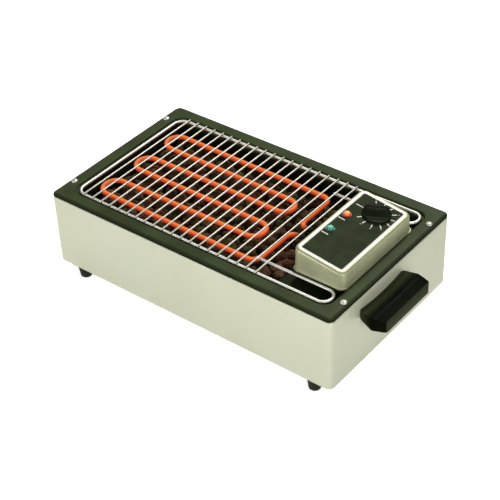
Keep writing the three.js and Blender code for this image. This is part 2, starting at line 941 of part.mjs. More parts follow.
function makeBushingNut() {
  const nut = post(nutRadius, seatGap, seatGap + nutThickness, dialAlong, dialAcross, 6);
  const hole = post(bushingRadius + holeClearance, -cutOverrun, cutOverrun, dialAlong, dialAcross);
  return onTop(cut(nut, hole));
}

// The ridge across the knob: its flanks are hollow for the fingers, and it arches from end to end.
function makeRidge() {
  const half = knobRadius - ridgeEndInset;
  const flanks = new THREE.Shape();
  flanks.moveTo(-ridgeFootHalf, -weldDepth);
  flanks.lineTo(-ridgeFootHalf, 0);
  flanks.quadraticCurveTo(-ridgeFootHalf * ridgeHollowShare, 0, -ridgeCrestHalf, ridgeRise);
  flanks.lineTo(ridgeCrestHalf, ridgeRise);
  flanks.quadraticCurveTo(ridgeFootHalf * ridgeHollowShare, 0, ridgeFootHalf, 0);
  flanks.lineTo(ridgeFootHalf, -weldDepth);
  const bar = new THREE.ExtrudeGeometry(flanks, { depth: 2 * half, bevelEnabled: false, curveSegments: 6 });
  bar.translate(0, 0, -half);
  bar.rotateX(Math.PI / 2);
  bar.rotateZ(Math.PI / 2);
  const arch = new THREE.Shape();
  arch.moveTo(-half, -weldDepth);
  arch.lineTo(-half, 0);
  arch.quadraticCurveTo(0, ridgeRise * ridgeArchShare, half, 0);
  arch.lineTo(half, -weldDepth);
  const vault = new THREE.ExtrudeGeometry(arch, { depth: 2 * half, bevelEnabled: false, curveSegments: 10 });
  vault.translate(0, 0, -half);
  vault.rotateX(Math.PI / 2);
  return toSolid(bar).intersect(toSolid(vault)).intersect(post(half, -cutOverrun, cutOverrun + ridgeRise));
}

// The round knob with the ridge across it, about its own axis, with its underside at zero.
function makeKnobForm() {
  const profile = [[0, 0], [knobRadius, 0]];
  for (let i = 0; i <= 3; i++) {
    const angle = (Math.PI / 2) * (i / 3);
    profile.push([
      knobRadius - knobEdgeRadius + knobEdgeRadius * Math.cos(angle),
      knobHeight - knobEdgeRadius + knobEdgeRadius * Math.sin(angle),
    ]);
  }
  profile.push([0, knobHeight]);
  const disc = turned(profile, 2 * smallCircleSteps);
  const ridge = makeRidge().translate([0, 0, knobHeight]);
  const nutRoom = post(nutRadius + holeClearance, -cutOverrun, nutThickness, 0, 0, circleSteps);
  const bore = post(spindleRadius + holeClearance, -cutOverrun, knobBoreDepth, 0, 0);
  return cut(join(disc, ridge), nutRoom, bore);
}

function makeKnob() {
  const geometry = toGeometry(makeKnobForm());
  geometry.rotateZ(THREE.MathUtils.degToRad(knobPointerDegrees));
  geometry.translate(dialAlong, dialAcross, knobLift);
  return onTop(toSolid(geometry));
}

function makeSpindle() {
  return onTop(post(spindleRadius, spindleBottom, spindleTop, dialAlong, dialAcross));
}

function makeLens(across) {
  const profile = [[0, -lensStem], [lampBodyRadius, -lensStem]];
  profile.push([lampBodyRadius, seatGap], [lensRadius, seatGap]);
  for (let i = 1; i <= 4; i++) {
    const angle = (Math.PI / 2) * (i / 4);
    profile.push([lensRadius * Math.cos(angle), seatGap + lensDome * Math.sin(angle)]);
  }
  profile[profile.length - 1][0] = 0;
  const geometry = toGeometry(turned(profile, circleSteps));
  geometry.translate(-lampAlong, across, 0);
  return onTop(toSolid(geometry));
}

function makeLampBody(across) {
  const top = -lensStem - seatGap;
  return onTop(post(lampBodyRadius, top - lampBodyLength, top, -lampAlong, across));
}

function makeTerminalBlock() {
  const low = trayBottom + trayWall + seatGap;
  let piece = block(blockLength, blockWidth, blockHeight, coverCentre, -blockAcross, low);
  for (let i = 0; i < blockWireCount; i++) {
    const x = coverCentre + (i - (blockWireCount - 1) / 2) * blockWirePitch;
    piece = cut(
      piece,
      levelHole(blockWireRadius, 2 * blockWidth, x, -blockAcross, low + blockHeight / 2, true),
    );
  }
  return piece;
}

// The rear wall's place across the box, at a rise above its base and a distance along from its middle.
function rearWallAt(rise, along) {
  return coverWidth / 2 - (coverDraft * rise) / (coverMidRise - coverSlope * along);
}

// The cable gland's collar passes through the rear wall and its flange lies outside. The wall is at zero.
function makeGland() {
  const inner = -coverWall - 2 * seatGap - glandFlange;
  const profile = [
    [glandBoreRadius, inner],
    [glandCollarRadius, inner],
    [glandCollarRadius, seatGap],
    [glandRadius, seatGap],
    [glandRadius, seatGap + glandFlange],
    [glandBoreRadius, seatGap + glandFlange],
    [glandBoreRadius, inner],
  ];
  return turned(profile, circleSteps);
}

// Puts a piece that points up square on the rear wall.
function setOnRearWall(mesh, along, rise, lift) {
  const lean = Math.atan(coverDraft / coverMidRise);
  mesh.rotation.x = lean - Math.PI / 2;
  const y = rearWallAt(rise, along) + lift * Math.cos(lean);
  mesh.position.set(coverCentre + along, y, coverBase + rise + lift * Math.sin(lean));
}

function addBase(parent) {
  addPiece(parent, "outer_casing", makeCasing(), "steel");
  addPiece(parent, "bottom_panel", makeBottomPanel(), "zinc");
  addPiece(parent, "top_frame", makeTopFrame(), "enamel");
  addPiece(parent, "lava_tank", makeTank(), "enamel");
  const foot = makeFoot();
  const footScrew = makeScrew(footScrewLength);
  const flangeScrew = makeScrew(flangeScrewLength);
  for (const [endName, end] of ends) {
    for (const [sideName, side] of sides) {
      const place = sideName + "_" + endName;
      const [x, y] = footPlace(end, side);
      addPiece(parent, "rubber_foot_" + place, foot, "rubber").position.set(x, y, 0);
      const screw = addPiece(parent, "foot_screw_" + place, footScrew, "zinc");
      screw.rotation.x = Math.PI;
      screw.position.set(x, y, footBoreDepth - seatGap);
      const [sx, sy] = flangeScrewPlace(end, side);
      const head = addPiece(parent, "flange_screw_" + place, flangeScrew, "zinc");
      head.position.set(sx, sy, flangeTop + seatGap);
    }
  }
}

function addHandle(parent) {
  addPiece(parent, "handle", makeHandle(), "bakelite").position.set(endWall, -handleOffset, handleTop);
  const screw = makeScrew(handleScrewLength);
  for (const [sideName, y, z] of handleScrewPlaces()) {
    const fastener = addPiece(parent, "handle_screw_" + sideName, screw, "zinc");
    fastener.rotation.y = -Math.PI / 2;
    fastener.position.set(endWall - caseWall - seatGap, y, z);
  }
}

function addHead(parent) {
  addPiece(parent, "control_box_cover", makeCover(), "cover");
  addPiece(parent, "control_box_tray", makeTray(), "tray");
  addPiece(parent, "fascia_plate", makeFascia(), "fascia");
  const element = rod(bentStations(elementCorners(), elementHeight), elementRadius, tubeSides);
  addPiece(parent, "heating_element", element, "element");
  for (const [sideName, side] of sides) {
    const y = side * elementTerminalHalf;
    addPiece(parent, "element_bush_" + sideName, makeBush(y), "zinc");
    addPiece(parent, "element_terminal_" + sideName, makeTerminal(y), "brass");
  }
  addPiece(parent, "thermostat_body", makeThermostat(), "ceramic");
  addPiece(parent, "thermostat_nut", makeBushingNut(), "zinc");
  for (const [colour, across] of lamps) {
    addPiece(parent, "pilot_lens_" + colour, makeLens(across), colour);
    addPiece(parent, "pilot_lamp_" + colour, makeLampBody(across), "nylon");
  }
  addPiece(parent, "terminal_block", makeTerminalBlock(), "nylon");
  setOnRearWall(addPiece(parent, "cable_gland", makeGland(), "bakelite"), glandAlong, glandRise, 0);
  const screw = makeScrew(coverScrewLength);
  for (const [name, along] of coverScrewPlaces()) {
    const fastener = addPiece(parent, "cover_screw_" + name, screw, "zinc");
    setOnRearWall(fastener, along, coverScrewRise, seatGap);
  }
}

// The handle stands out at one end, so the pieces are moved along to centre the whole.
const pieces = new THREE.Group();
pieces.position.x = -handleReach / 2;
grill.add(pieces);
addBase(pieces);
addHandle(pieces);
addStones(pieces);
addHead(pieces);
addPiece(pieces, "cooking_grid", makeGrid(), "wire");
addPiece(pieces, "thermostat_knob", makeKnob(), "bakelite");
addPiece(pieces, "knob_spindle", makeSpindle(), "zinc");

export default grill;
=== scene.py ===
"""Lava stone grill: the looks of the packed model, laid out as an add-on and run as a script.

The casing, tank, grid, element, stones, control box and handle are modelled again in fine mesh
over the fixed frame, and each rides on the body that carries it.
"""

import json
import math
import random

import bmesh
import bpy
from mathutils import Matrix, Vector, noise


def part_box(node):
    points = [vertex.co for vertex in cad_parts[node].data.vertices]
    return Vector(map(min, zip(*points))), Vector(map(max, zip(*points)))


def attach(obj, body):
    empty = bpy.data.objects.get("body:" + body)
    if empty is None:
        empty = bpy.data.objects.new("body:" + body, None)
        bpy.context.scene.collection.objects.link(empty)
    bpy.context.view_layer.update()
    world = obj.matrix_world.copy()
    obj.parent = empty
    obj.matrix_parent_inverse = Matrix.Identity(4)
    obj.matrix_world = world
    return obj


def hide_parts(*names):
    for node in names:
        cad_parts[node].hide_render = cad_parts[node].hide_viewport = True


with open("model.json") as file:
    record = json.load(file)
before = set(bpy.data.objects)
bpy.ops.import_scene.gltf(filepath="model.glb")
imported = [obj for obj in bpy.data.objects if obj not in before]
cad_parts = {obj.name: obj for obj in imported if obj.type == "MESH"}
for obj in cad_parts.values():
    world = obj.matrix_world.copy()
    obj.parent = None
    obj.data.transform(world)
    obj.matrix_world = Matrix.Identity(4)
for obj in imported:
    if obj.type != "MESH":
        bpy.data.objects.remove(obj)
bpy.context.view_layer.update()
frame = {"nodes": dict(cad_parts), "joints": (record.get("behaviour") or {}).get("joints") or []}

bl_info = {
    "name": "Lava Stone Grill",
    "version": (1, 0, 0),
    "blender": (4, 5, 0),
    "location": "View3D > Sidebar > Grill",
    "description": "Dresses the packed grill with fine meshes and finishes",
    "category": "Object",
}

MM = 0.001

# Places read from the frame
CASE_LOW, CASE_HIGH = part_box("outer_casing")
TANK_LOW, TANK_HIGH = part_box("top_frame")
BED_LOW, BED_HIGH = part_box("lava_stone_bed")
GRID_LOW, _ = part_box("cooking_grid")
TUBE_LOW, TUBE_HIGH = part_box("heating_element")
COVER_LOW, COVER_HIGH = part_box("control_box_cover")
DIAL = next(joint for joint in frame["joints"] if joint["name"] == "dial_turn")
DIAL_CENTRE = Vector(DIAL["pos_m"])
TOP_NORMAL = Vector(DIAL["axis"])
MIDDLE_X = (CASE_LOW.x + CASE_HIGH.x) / 2

# Settings


def length(size, label):
    """A length setting, given in mm and kept in m."""
    return bpy.props.FloatProperty(name=label, default=size * MM, min=0.0, subtype="DISTANCE", unit="LENGTH")


def angle(degrees, label):
    return bpy.props.FloatProperty(name=label, default=math.radians(degrees), subtype="ANGLE")


def number(default, label):
    return bpy.props.IntProperty(name=label, default=default, min=0)


def colour(default, label):
    return bpy.props.FloatVectorProperty(
        name=label, default=default, size=3, min=0.0, max=1.0, subtype="COLOR"
    )


class CasingSettings(bpy.types.PropertyGroup):
    """Sizes and finish of the sheet steel casing."""

    corner_radius: length(10, "Radius of the upright corners")
    fold_radius: length(2.2, "Radius of the folds at both edges")
    sheet: length(1.2, "Thickness of the sheet")
    lower_lip: length(12, "Width of the lip folded in at the bottom")
    upper_lip: length(16, "Width of the lip folded in at the top")
    steel: colour((0.575, 0.592, 0.465), "Tinted stainless sheet")


class TankSettings(bpy.types.PropertyGroup):
    """Sizes and finish of the enamelled tank."""

    left: length(253.5, "Opening's reach towards the stone end")
    right: length(252, "Opening's reach towards the control end")
    half_width: length(137.3, "Half the opening's width")
    opening_radius: length(19, "Radius of the opening's corners")
    skirt_gap: length(0.3, "Gap between the rolled edge and the casing")
    skirt_inset: length(2.2, "How far the rolled edge turns back in")
    edge_radius: length(2.4, "Radius of the rolled edge")
    edge_drop: length(1.9, "Depth of the rolled edge below the flange")
    soft_radius: length(1.6, "Radius of the opening's and the ledge's edge")
    ledge_drop: length(4.5, "Depth of the ledge that the grid lies on")
    ledge_width: length(8, "Width of the ledge at the stone end and the sides")
    ledge_end: length(4, "Width of the ledge at the control end")
    ledge_fillet: length(1.2, "Radius between the ledge and the wall above")
    shelf_drop: length(20, "Depth of the shelf under the control box")
    shelf_start: length(147, "Where the shelf starts")
    shelf_fillet: length(4, "Radius between the shelf and its wall")
    well_drop: length(59, "Depth of the end that holds the stones")
    well_inset: length(2.6, "How far the deep end's edge stands in")
    well_bend: length(2.4, "Radius of the deep end's edge")
    well_fillet: length(8, "Radius between the deep end's wall and floor")
    well_corner: length(9, "Radius of the deep end's corners")
    sheet: length(1.1, "Thickness of the sheet")
    enamel: colour((0.052, 0.068, 0.03), "Olive enamel")


class StoneSettings(bpy.types.PropertyGroup):
    """How the lava stones lie."""

    count: number(205, "Stones in the heap")
    large: number(62, "How many of them are large")
    smallest: length(9.5, "Half the size of the smallest stone")
    largest: length(17, "Half the size of the largest stone")
    seed: number(11, "Start of the scatter")
    stone: colour((0.05, 0.04, 0.02), "Darker stones")
    rust: colour((0.14, 0.052, 0.027), "Redder stones")


class ElementSettings(bpy.types.PropertyGroup):
    """Sizes and glow of the heating element."""

    radius: length(4, "Radius of the tube")
    pitch: length(39.6, "Distance between two runs")
    left: length(230, "Reach of the bends at the stone end")
    right: length(61.5, "Reach of the bends at the control end")
    crossover: length(95, "Where the outer runs turn inwards")
    bend: length(14, "Radius of the bends at the crossover")
    tail: length(11, "Distance of the tails from the middle")
    glow: colour((0.62, 0.062, 0.012), "Hot tube")


class GridSettings(bpy.types.PropertyGroup):
    """Sizes of the wire cooking grid."""

    frame_radius: length(2.1, "Radius of the frame wire")
    cross_radius: length(1.35, "Radius of the cross wires")
    weld_sink: length(0.5, "How far the wires are pressed together")
    left: length(245.3, "Reach of the frame towards the stone end")
    half_width: length(131, "Half the distance between the long wires")
    corner_radius: length(18, "Radius of the frame's corners")
    loop_end: length(245, "Reach of the finger loops")
    loop_width: length(30, "Distance between the two wires of a loop")
    loop_return: length(98, "Where the loop's inner wire ends")
    wires: number(20, "Cross wires")
    first: length(226.9, "Place of the first cross wire")
    pitch: length(18.25, "Distance between two cross wires")
    overhang: length(3, "How far the cross wires pass the frame")


class BoxSettings(bpy.types.PropertyGroup):
    """Sizes and finish of the control box."""

    size_x: length(92, "Length of the cover at its base")
    size_y: length(186, "Width of the cover at its base")
    low: length(28.4, "Height at the outer side")
    high: length(41.1, "Height at the grid's side")
    draft: length(1, "How far the sides lean in")
    corner_radius: length(11, "Radius of the upright corners")
    edge_radius: length(4, "Radius of the upper edge")
    rim_inset: length(2, "Distance from the upper edge to the bright rim")
    sheet: length(0.9, "Thickness of the sheet")
    plate_x: length(71.2, "Length of the fascia plate")
    plate_y: length(164.8, "Width of the fascia plate")
    metal: colour((0.42, 0.43, 0.27), "Cover")
    plate: colour((0.036, 0.046, 0.024), "Fascia plate")
    print_white: colour((0.78, 0.8, 0.7), "Printed marks")


class DialSettings(bpy.types.PropertyGroup):
    """Sizes of the dial and its scale."""

    along: length(6, "Place along the plate, from its middle")
    across: length(53, "Place across the plate, from its middle")
    radius: length(22.8, "Radius of the dial")
    skirt: length(3.4, "Height of the round part")
    rim: length(1.3, "Radius of the round part's edge")
    rib_depth: length(0.3, "Depth of the ribs round the edge")
    ridge_rise: length(5.6, "Height of the ridge above the round part")
    ridge_crest: length(1.5, "Half the width of the ridge at its top")
    ridge_foot: length(13, "Half the width of the ridge at its foot")
    crest_rise: length(0.35, "Height of the ridge's rounded crest")
    scoop: length(1.3, "Depth of the finger hollows beside the ridge")
    lift: length(0.8, "Gap under the dial")
    pointer: angle(34, "Angle of the ridge at rest")
    tick_inner: length(23.6, "Inner end of the scale's marks")
    tick_outer: length(31.4, "Outer end of the scale's marks")
    tick_width: length(1.9, "Width of the marks")
    off_longer: length(6, "How much longer the off mark is")
    figure_gap: length(3.2, "Distance from a mark to its figure")
    figure_size: length(4.05, "Size of the figures")
    first_mark: angle(125, "Angle of the scale's first mark")
    mark_step: angle(28.1, "Angle between two marks")
    marks: number(10, "Marks on the scale")
    moulding: colour((0.007, 0.01, 0.0048), "Black moulding")


class LampSettings(bpy.types.PropertyGroup):
    """Sizes of the pilot lamps, with their places measured from the dial."""

    along: length(33.6, "Distance of the lamps, towards the grid")
    amber_across: length(30.6, "Distance of the amber lamp, towards the front")
    green_across: length(74.4, "Distance of the green lamp, towards the front")
    bar_gap: length(12.8, "Distance from a lamp to its printed mark")
    bar_length: length(12, "Length of that mark")
    radius: length(6.3, "Radius of the lenses")
    dome: length(5.4, "How far the lenses stand out")
    stem: length(4.4, "Radius of the lens inside its hole")
    stem_depth: length(3.4, "Depth of the lens inside its hole")


class HandleSettings(bpy.types.PropertyGroup):
    """Sizes of the handle."""

    reach: length(47.6, "How far the handle stands out")
    knee: length(25.4, "Where the outline is widest")
    root_half: length(58, "Half the width at the wall")
    knee_half: length(64.3, "Half the width at the knee")
    tip_half: length(57.6, "Half the width at the outer face")
    height: length(22, "Height at the knee")
    root_height: length(15, "Height at the wall")
    wall: length(4, "Thickness of the shell")
    dip: length(4.2, "How deep the top is scooped at the wall")
    step: length(0.4, "Drop of the top just outside the knee")
    step_run: length(0.4, "Width of that drop")
    tip_radius: length(5, "Radius of the outer corners")
    root_radius: length(5, "Radius of the corners at the wall")


class StageSettings(bpy.types.PropertyGroup):
    """The camera and the floor."""

    lens: bpy.props.FloatProperty(name="Focal length in mm", default=99.92)
    azimuth: angle(39.12, "Camera's turn about the upright")
    elevation: angle(37.66, "Camera's height angle")
    roll: angle(-2.35, "Camera's roll")
    distance: length(2315.1, "Camera's distance from the point it turns about")
    floor: colour((0.86, 0.86, 0.84), "Floor")


GROUPS = {
    "grill_casing": CasingSettings,
    "grill_tank": TankSettings,
    "grill_stones": StoneSettings,
    "grill_element": ElementSettings,
    "grill_grid": GridSettings,
    "grill_box": BoxSettings,
    "grill_dial": DialSettings,
    "grill_lamps": LampSettings,
    "grill_handle": HandleSettings,
    "grill_stage": StageSettings,
}

# Finishes


def operator_pair(operation):
    """The direct and the reflected form of one arithmetic operator."""

    def direct(self, other):
        return self.maths(operation, self, other)

    def reflected(self, other):
        return self.maths(operation, other, self)

    return direct, reflected


class Value:
    """The output of a shader node. Arithmetic on it adds Math nodes."""

    def __init__(self, finish, socket):
        self.finish = finish
        self.socket = socket

    def maths(self, operation, *values, clamp=False):
        settings = {"operation": operation, "use_clamp": clamp}
        return self.finish.add("ShaderNodeMath", settings, *values)

    __add__, __radd__ = operator_pair("ADD")
    __sub__, __rsub__ = operator_pair("SUBTRACT")
    __mul__, __rmul__ = operator_pair("MULTIPLY")

    def clamped(self):
        return self.maths("ADD", self, 0.0, clamp=True)

    def absolute(self):
        return self.maths("ABSOLUTE", self)

    def least(self, other):
        return self.maths("MINIMUM", self, other)

    def ramp(self, low, high):
        """0 at low and 1 at high, with a soft step between."""
        settings = {"interpolation_type": "SMOOTHSTEP"}
        return self.finish.add("ShaderNodeMapRange", settings, self, low, high, 0.0, 1.0)


class Finish:
    """A material built from nodes."""

    def __init__(self, name):
        self.material = bpy.data.materials.new(name)
        self.material.use_nodes = True
        self.tree = self.material.node_tree
        self.shader = self.tree.nodes["Principled BSDF"]
        self.output = self.tree.nodes["Material Output"]

    def set(self, socket, value):
        if isinstance(value, Value):
            self.tree.links.new(value.socket, socket)
        elif socket.type == "RGBA":
            socket.default_value = (*value[:3], 1.0)
        else:
            socket.default_value = value

    def add(self, kind, settings=None, *values, output=0, **named):
        """Adds a node, sets its settings and then its sockets, and returns one of its outputs."""
        node = self.tree.nodes.new(kind)
        for key, setting in (settings or {}).items():
            setattr(node, key, setting)
        for index, value in enumerate(values):
            if value is not None:
                self.set(node.inputs[index], value)
        for key, value in named.items():
            self.set(node.inputs[key.replace("_", " ")], value)
        return Value(self, node.outputs[output])

    def place(self):
        return self.add("ShaderNodeTexCoord", output=3)

    def part(self, axis, of=None):
        """One coordinate of a vector, the object's own place if none is given."""
        return self.add("ShaderNodeSeparateXYZ", {}, of or self.place(), output="XYZ".index(axis))

    def grain(self, scale, detail=4.0, roughness=0.55, stretch=(1, 1, 1)):
        """Noise over the object's own place, from 0 to 1."""
        still = (0, 0, 0)
        at = self.add("ShaderNodeMapping", {"vector_type": "POINT"}, self.place(), still, still, stretch)
        return self.add("ShaderNodeTexNoise", {}, Vector=at, Scale=scale, Detail=detail, Roughness=roughness)

    def mix(self, share, first, second):
        settings = {"data_type": "RGBA", "clamp_factor": True}
        unused = [None] * 5
        return self.add("ShaderNodeMix", settings, share, *unused, first, second, output=2)

    def bump(self, height, strength, distance):
        return self.add("ShaderNodeBump", {}, Strength=strength, Distance=distance, Height=height)

    def surface(self, **sockets):
        """Sets the shader's sockets, constants on the sockets themselves."""
        for key, value in sockets.items():
            self.set(self.shader.inputs[key.replace("_", " ")], value)
        return self.material


def settings():
    return bpy.context.scene


def scaled(tone, factor):
    return tuple(channel * factor for channel in tone)


def clouded(name, grain, tones, roughness, fine=None, span=(0.3, 0.7), **sockets):
    """A finish whose tone follows a soft cloud.

    grain holds the cloud's noise settings, and tones the two colours between which it goes over
    the span. roughness is a base and the share of the cloud on top of it. fine holds the scale,
    detail, strength and depth of a bump.
    """
    finish = Finish(name)
    cloud = finish.grain(*grain)
    base, share = roughness
    if fine:
        scale, detail, strength, depth = fine
        sockets["Normal"] = finish.bump(finish.grain(scale, detail), strength, depth)
    return finish.surface(
        Base_Color=finish.mix(cloud.ramp(*span), *tones),
        Roughness=base + cloud * share if share else base,
        **sockets,
    )


def sheet_steel():
    """Thin stainless sheet with a warm tint: satin, with faint brushing along the walls."""
    finish = Finish("tinted_sheet_steel")
    tone = settings().grill_casing.steel
    warm = (tone[0] * 0.975, tone[1] * 0.975, tone[2] * 0.95)
    cloud = finish.grain(9.0, 3.0, 0.5)
    brushing = finish.grain(40.0, 6.0, 0.65, (1.0, 1.0, 22.0))
    shade = finish.mix(cloud.ramp(0.32, 0.68), warm, scaled(tone, 1.03))
    return finish.surface(
        Base_Color=finish.mix(brushing.ramp(0.3, 0.7) * 0.35, shade, tone),
        Metallic=0.2,
        Roughness=0.46 + brushing * 0.14,
        Specular_IOR_Level=0.3,
        Normal=finish.bump(brushing, 0.1, 0.0004),
    )


def edge_distance(finish):
    """The distance from the flange's outer edge, measured level."""
    half = (TANK_HIGH - TANK_LOW) / 2
    middle_y = (TANK_LOW.y + TANK_HIGH.y) / 2
    ends = half.x - (finish.part("X") - MIDDLE_X).absolute()
    sides = half.y - (finish.part("Y") - middle_y).absolute()
    return ends.least(sides)


def olive_enamel():
    """Dark olive enamel with painted shade: near black in the deep end below the ledge, darker on the shelf,
    and darker on the rolled edge, near black on its lower part.
    """
    finish = Finish("olive_enamel")
    s = settings().grill_tank
    tone = s.enamel
    painted_shade_tone = scaled(tone, 0.1)
    ledge = TANK_HIGH.z - s.ledge_drop
    edge = MIDDLE_X + s.shelf_start
    cloud = finish.grain(14.0, 3.0)
    peel = finish.grain(420.0, 2.0, 0.4)
    height = finish.part("Z")
    shade = finish.mix(cloud.ramp(0.35, 0.65), scaled(tone, 0.85), scaled(tone, 1.15))
    # Painted shade: the deep end's walls below the ledge go near black.
    deep = 1.0 - finish.part("X").ramp(edge - 7 * MM, edge + 3 * MM)
    below = 1.0 - height.ramp(ledge - 5 * MM, ledge + 1 * MM)
    shade = finish.mix(deep * below * 0.92, shade, painted_shade_tone)
    # Painted shade: the shelf under the control box, and all below it, is darker.
    shelf = 1.0 - height.ramp(ledge - 15 * MM, ledge - 10 * MM)
    shade = finish.mix(shelf * 0.7, shade, painted_shade_tone)
    # Painted shade: the rolled edge is darker.
    rolled = 1.0 - edge_distance(finish).ramp(4.2 * MM, 6 * MM)
    shade = finish.mix(rolled * 0.8, shade, scaled(tone, 0.45))
    # Painted shade: the rolled edge's turned-under lower part goes near black.
    upright = 1.0 - height.ramp(TANK_HIGH.z - 2.6 * MM, TANK_HIGH.z - 1.2 * MM)
    return finish.surface(
        Base_Color=finish.mix(rolled * upright * 0.8, shade, painted_shade_tone),
        Roughness=0.36 + cloud * 0.08,
        Specular_IOR_Level=0.04,
        Normal=finish.bump(peel, 0.1, 0.0003),
    )


def bright_wire(name, darker, paler):
    """Satin chromed wire with a slightly milky plating."""
    return clouded(name, (160.0, 3.0), (darker, paler), (0.42, 0.1), Metallic=0.5)


def hot_tube():
    """The glowing tube, with painted light: brightest on top and dark red underneath, paler at the far
    bends, and cold where it enters the box.
    """
    finish = Finish("hot_tube")
    glow = settings().grill_element.glow
    x = finish.part("X")
    facing = finish.add("ShaderNodeNewGeometry", output=1)
    up = finish.part("Z", finish.add("ShaderNodeVectorTransform", {"vector_type": "NORMAL"}, facing))
    cold = x.ramp(MIDDLE_X + 99 * MM, MIDDLE_X + 113 * MM)
    bend = 1.0 - x.ramp(MIDDLE_X - 246 * MM, MIDDLE_X - 214 * MM)
    mottle = finish.grain(70.0, 4.0)
    # Painted light: the glow follows the surface's facing, dark red underneath and bright orange on top, as
    # if lit from above.
    sides = finish.mix(up.ramp(-0.7, 0.55) * (0.8 + mottle * 0.4), (0.24, 0.01, 0.002), glow)
    painted_lit_glow = finish.mix(up.ramp(0.45, 0.98) * 0.9, sides, (1.0, 0.25, 0.06))
    dull = finish.mix(bend * 0.7, painted_lit_glow, (0.56, 0.2, 0.11))
    return finish.surface(
        Base_Color=finish.mix(cold, (0.16, 0.03, 0.012), (0.011, 0.013, 0.008)),
        Roughness=0.6,
        Specular_IOR_Level=0.1,
        Emission_Color=finish.mix(cold, dull, (0.0, 0.0, 0.0)),
        Emission_Strength=0.82,
        Normal=finish.bump(mottle, 0.2, 0.0005),
    )


def lava_stone():
    """Porous stone: dark brown to rusty red from stone to stone, with pits."""
    finish = Finish("lava_stone")
    tones = settings().grill_stones
    tint = finish.add("ShaderNodeAttribute", {"attribute_name": "stone_tint"}, output=2)
    cloud = finish.grain(90.0, 5.0, 0.65)
    pits = finish.add("ShaderNodeTexVoronoi", {"feature": "F1"}, Vector=finish.place(), Scale=420.0)
    fine = finish.grain(900.0, 4.0, 0.7)
    # Painted shade: the pits are near black inside, where hollow is low.
    hollow = pits.ramp(0.1, 0.55)
    body = finish.mix(tint.ramp(0.5, 1.0), tones.stone, tones.rust)
    olive = finish.mix((1.0 - tint).ramp(0.6, 1.0) * 0.8, body, (0.075, 0.07, 0.03))
    mottled = finish.mix(cloud.ramp(0.35, 0.75) * 0.7, olive, (0.17, 0.135, 0.08))
    return finish.surface(
        Base_Color=finish.mix(hollow, (0.008, 0.006, 0.004), mottled),
        Roughness=0.92,
        Specular_IOR_Level=0.08,
        Normal=finish.bump(hollow * 0.7 + fine * 0.4 + cloud * 0.6, 0.9, 0.0016),
    )


def box_metal():
    """The cover's satin metal, with faint brushing."""
    finish = Finish("box_metal")
    tone = settings().grill_box.metal
    cloud = finish.grain(26.0, 3.0)
    brushing = finish.grain(60.0, 6.0, 0.65, (1.0, 1.0, 16.0))
    return finish.surface(
        Base_Color=finish.mix(cloud.ramp(0.3, 0.7), scaled(tone, 0.92), scaled(tone, 1.1)),
        Metallic=0.4,
        Roughness=0.42 + brushing * 0.12,
        Normal=finish.bump(brushing, 0.1, 0.0003),
    )


def rim_metal():
    """The rim round the fascia plate: the cover's metal, a little smoother, in a paler tone that is a
    painted highlight.
    """
    tones = (0.57, 0.58, 0.48), (0.64, 0.65, 0.55)
    return clouded("rim_metal", (60.0, 3.0), tones, (0.34, 0.1), Metallic=0.3)


def plate_print():
    """The fascia plate: satin olive black with a fine stipple."""
    tone = settings().grill_box.plate
    tones = scaled(tone, 0.85), scaled(tone, 1.18)
    stipple = (1200.0, 2.0, 0.12, 0.0002)
    return clouded(
        "fascia_plate_print", (40.0, 3.0), tones, (0.6, 0.1), stipple, Specular_IOR_Level=0.02
    )


def white_print():
    """White ink on the fascia."""
    tone = settings().grill_box.print_white
    return clouded("white_print", (900.0, 3.0), (scaled(tone, 0.82), tone), (0.6, 0.0), span=(0.25, 0.5))


def black_moulding(name, roughness, lift=1.0, gloss=0.45):
    """Black heat-proof moulding with faint flow marks."""
    tone = settings().grill_dial.moulding
    tones = scaled(tone, 0.8 * lift), scaled(tone, 1.5 * lift)
    flow = (30.0, 5.0, 0.6, (1.0, 1.0, 3.0))
    fine = (700.0, 3.0, 0.08, 0.0002)
    return clouded(name, flow, tones, (roughness, 0.04), fine, Specular_IOR_Level=gloss)


def handle_moulding():
    """The handle's black moulding, with a painted olive reflection of the wall on the part by the wall, and
    painted light on the outer face.
    """
    finish = Finish("handle_moulding")
    tone = settings().grill_dial.moulding
    s = settings().grill_handle
    x = finish.part("X")
    flow = finish.grain(30.0, 5.0, 0.6, (1.0, 1.0, 3.0))
    dark = finish.mix(flow.ramp(0.3, 0.7), scaled(tone, 0.3), scaled(tone, 0.6))
    # Painted reflection of the pale wall: the part near the wall is lighter olive.
    inner = 1.0 - x.ramp(0.0, s.knee)
    painted_wall_reflection = finish.mix(inner * 0.9, dark, (0.05, 0.06, 0.028))
    # Painted light: the outer face is lighter olive.
    outer = x.ramp(s.reach - 2.2 * MM, s.reach - 0.6 * MM)
    return finish.surface(
        Base_Color=finish.mix(outer * 0.9, painted_wall_reflection, (0.035, 0.046, 0.02)),
        Roughness=0.3 + flow * 0.04,
        Specular_IOR_Level=0.005,
        Normal=finish.bump(finish.grain(700.0, 3.0), 0.03, 0.0002),
    )


def foot_rubber():
    """Matt rubber with a dusty bloom."""
    tones = (0.006, 0.007, 0.003), (0.017, 0.02, 0.009)
    fine = (120.0, 4.0, 0.2, 0.0004)
    return clouded(
        "foot_rubber", (120.0, 4.0), tones, (0.72, 0.0), fine, (0.4, 0.8), Specular_IOR_Level=0.2
    )


def plated_steel():
    """Zinc-plated screws and nuts."""
    tones = (0.66, 0.67, 0.58), (0.82, 0.82, 0.75)
    return clouded("plated_steel", (300.0, 3.0), tones, (0.3, 0.14), Metallic=0.5)


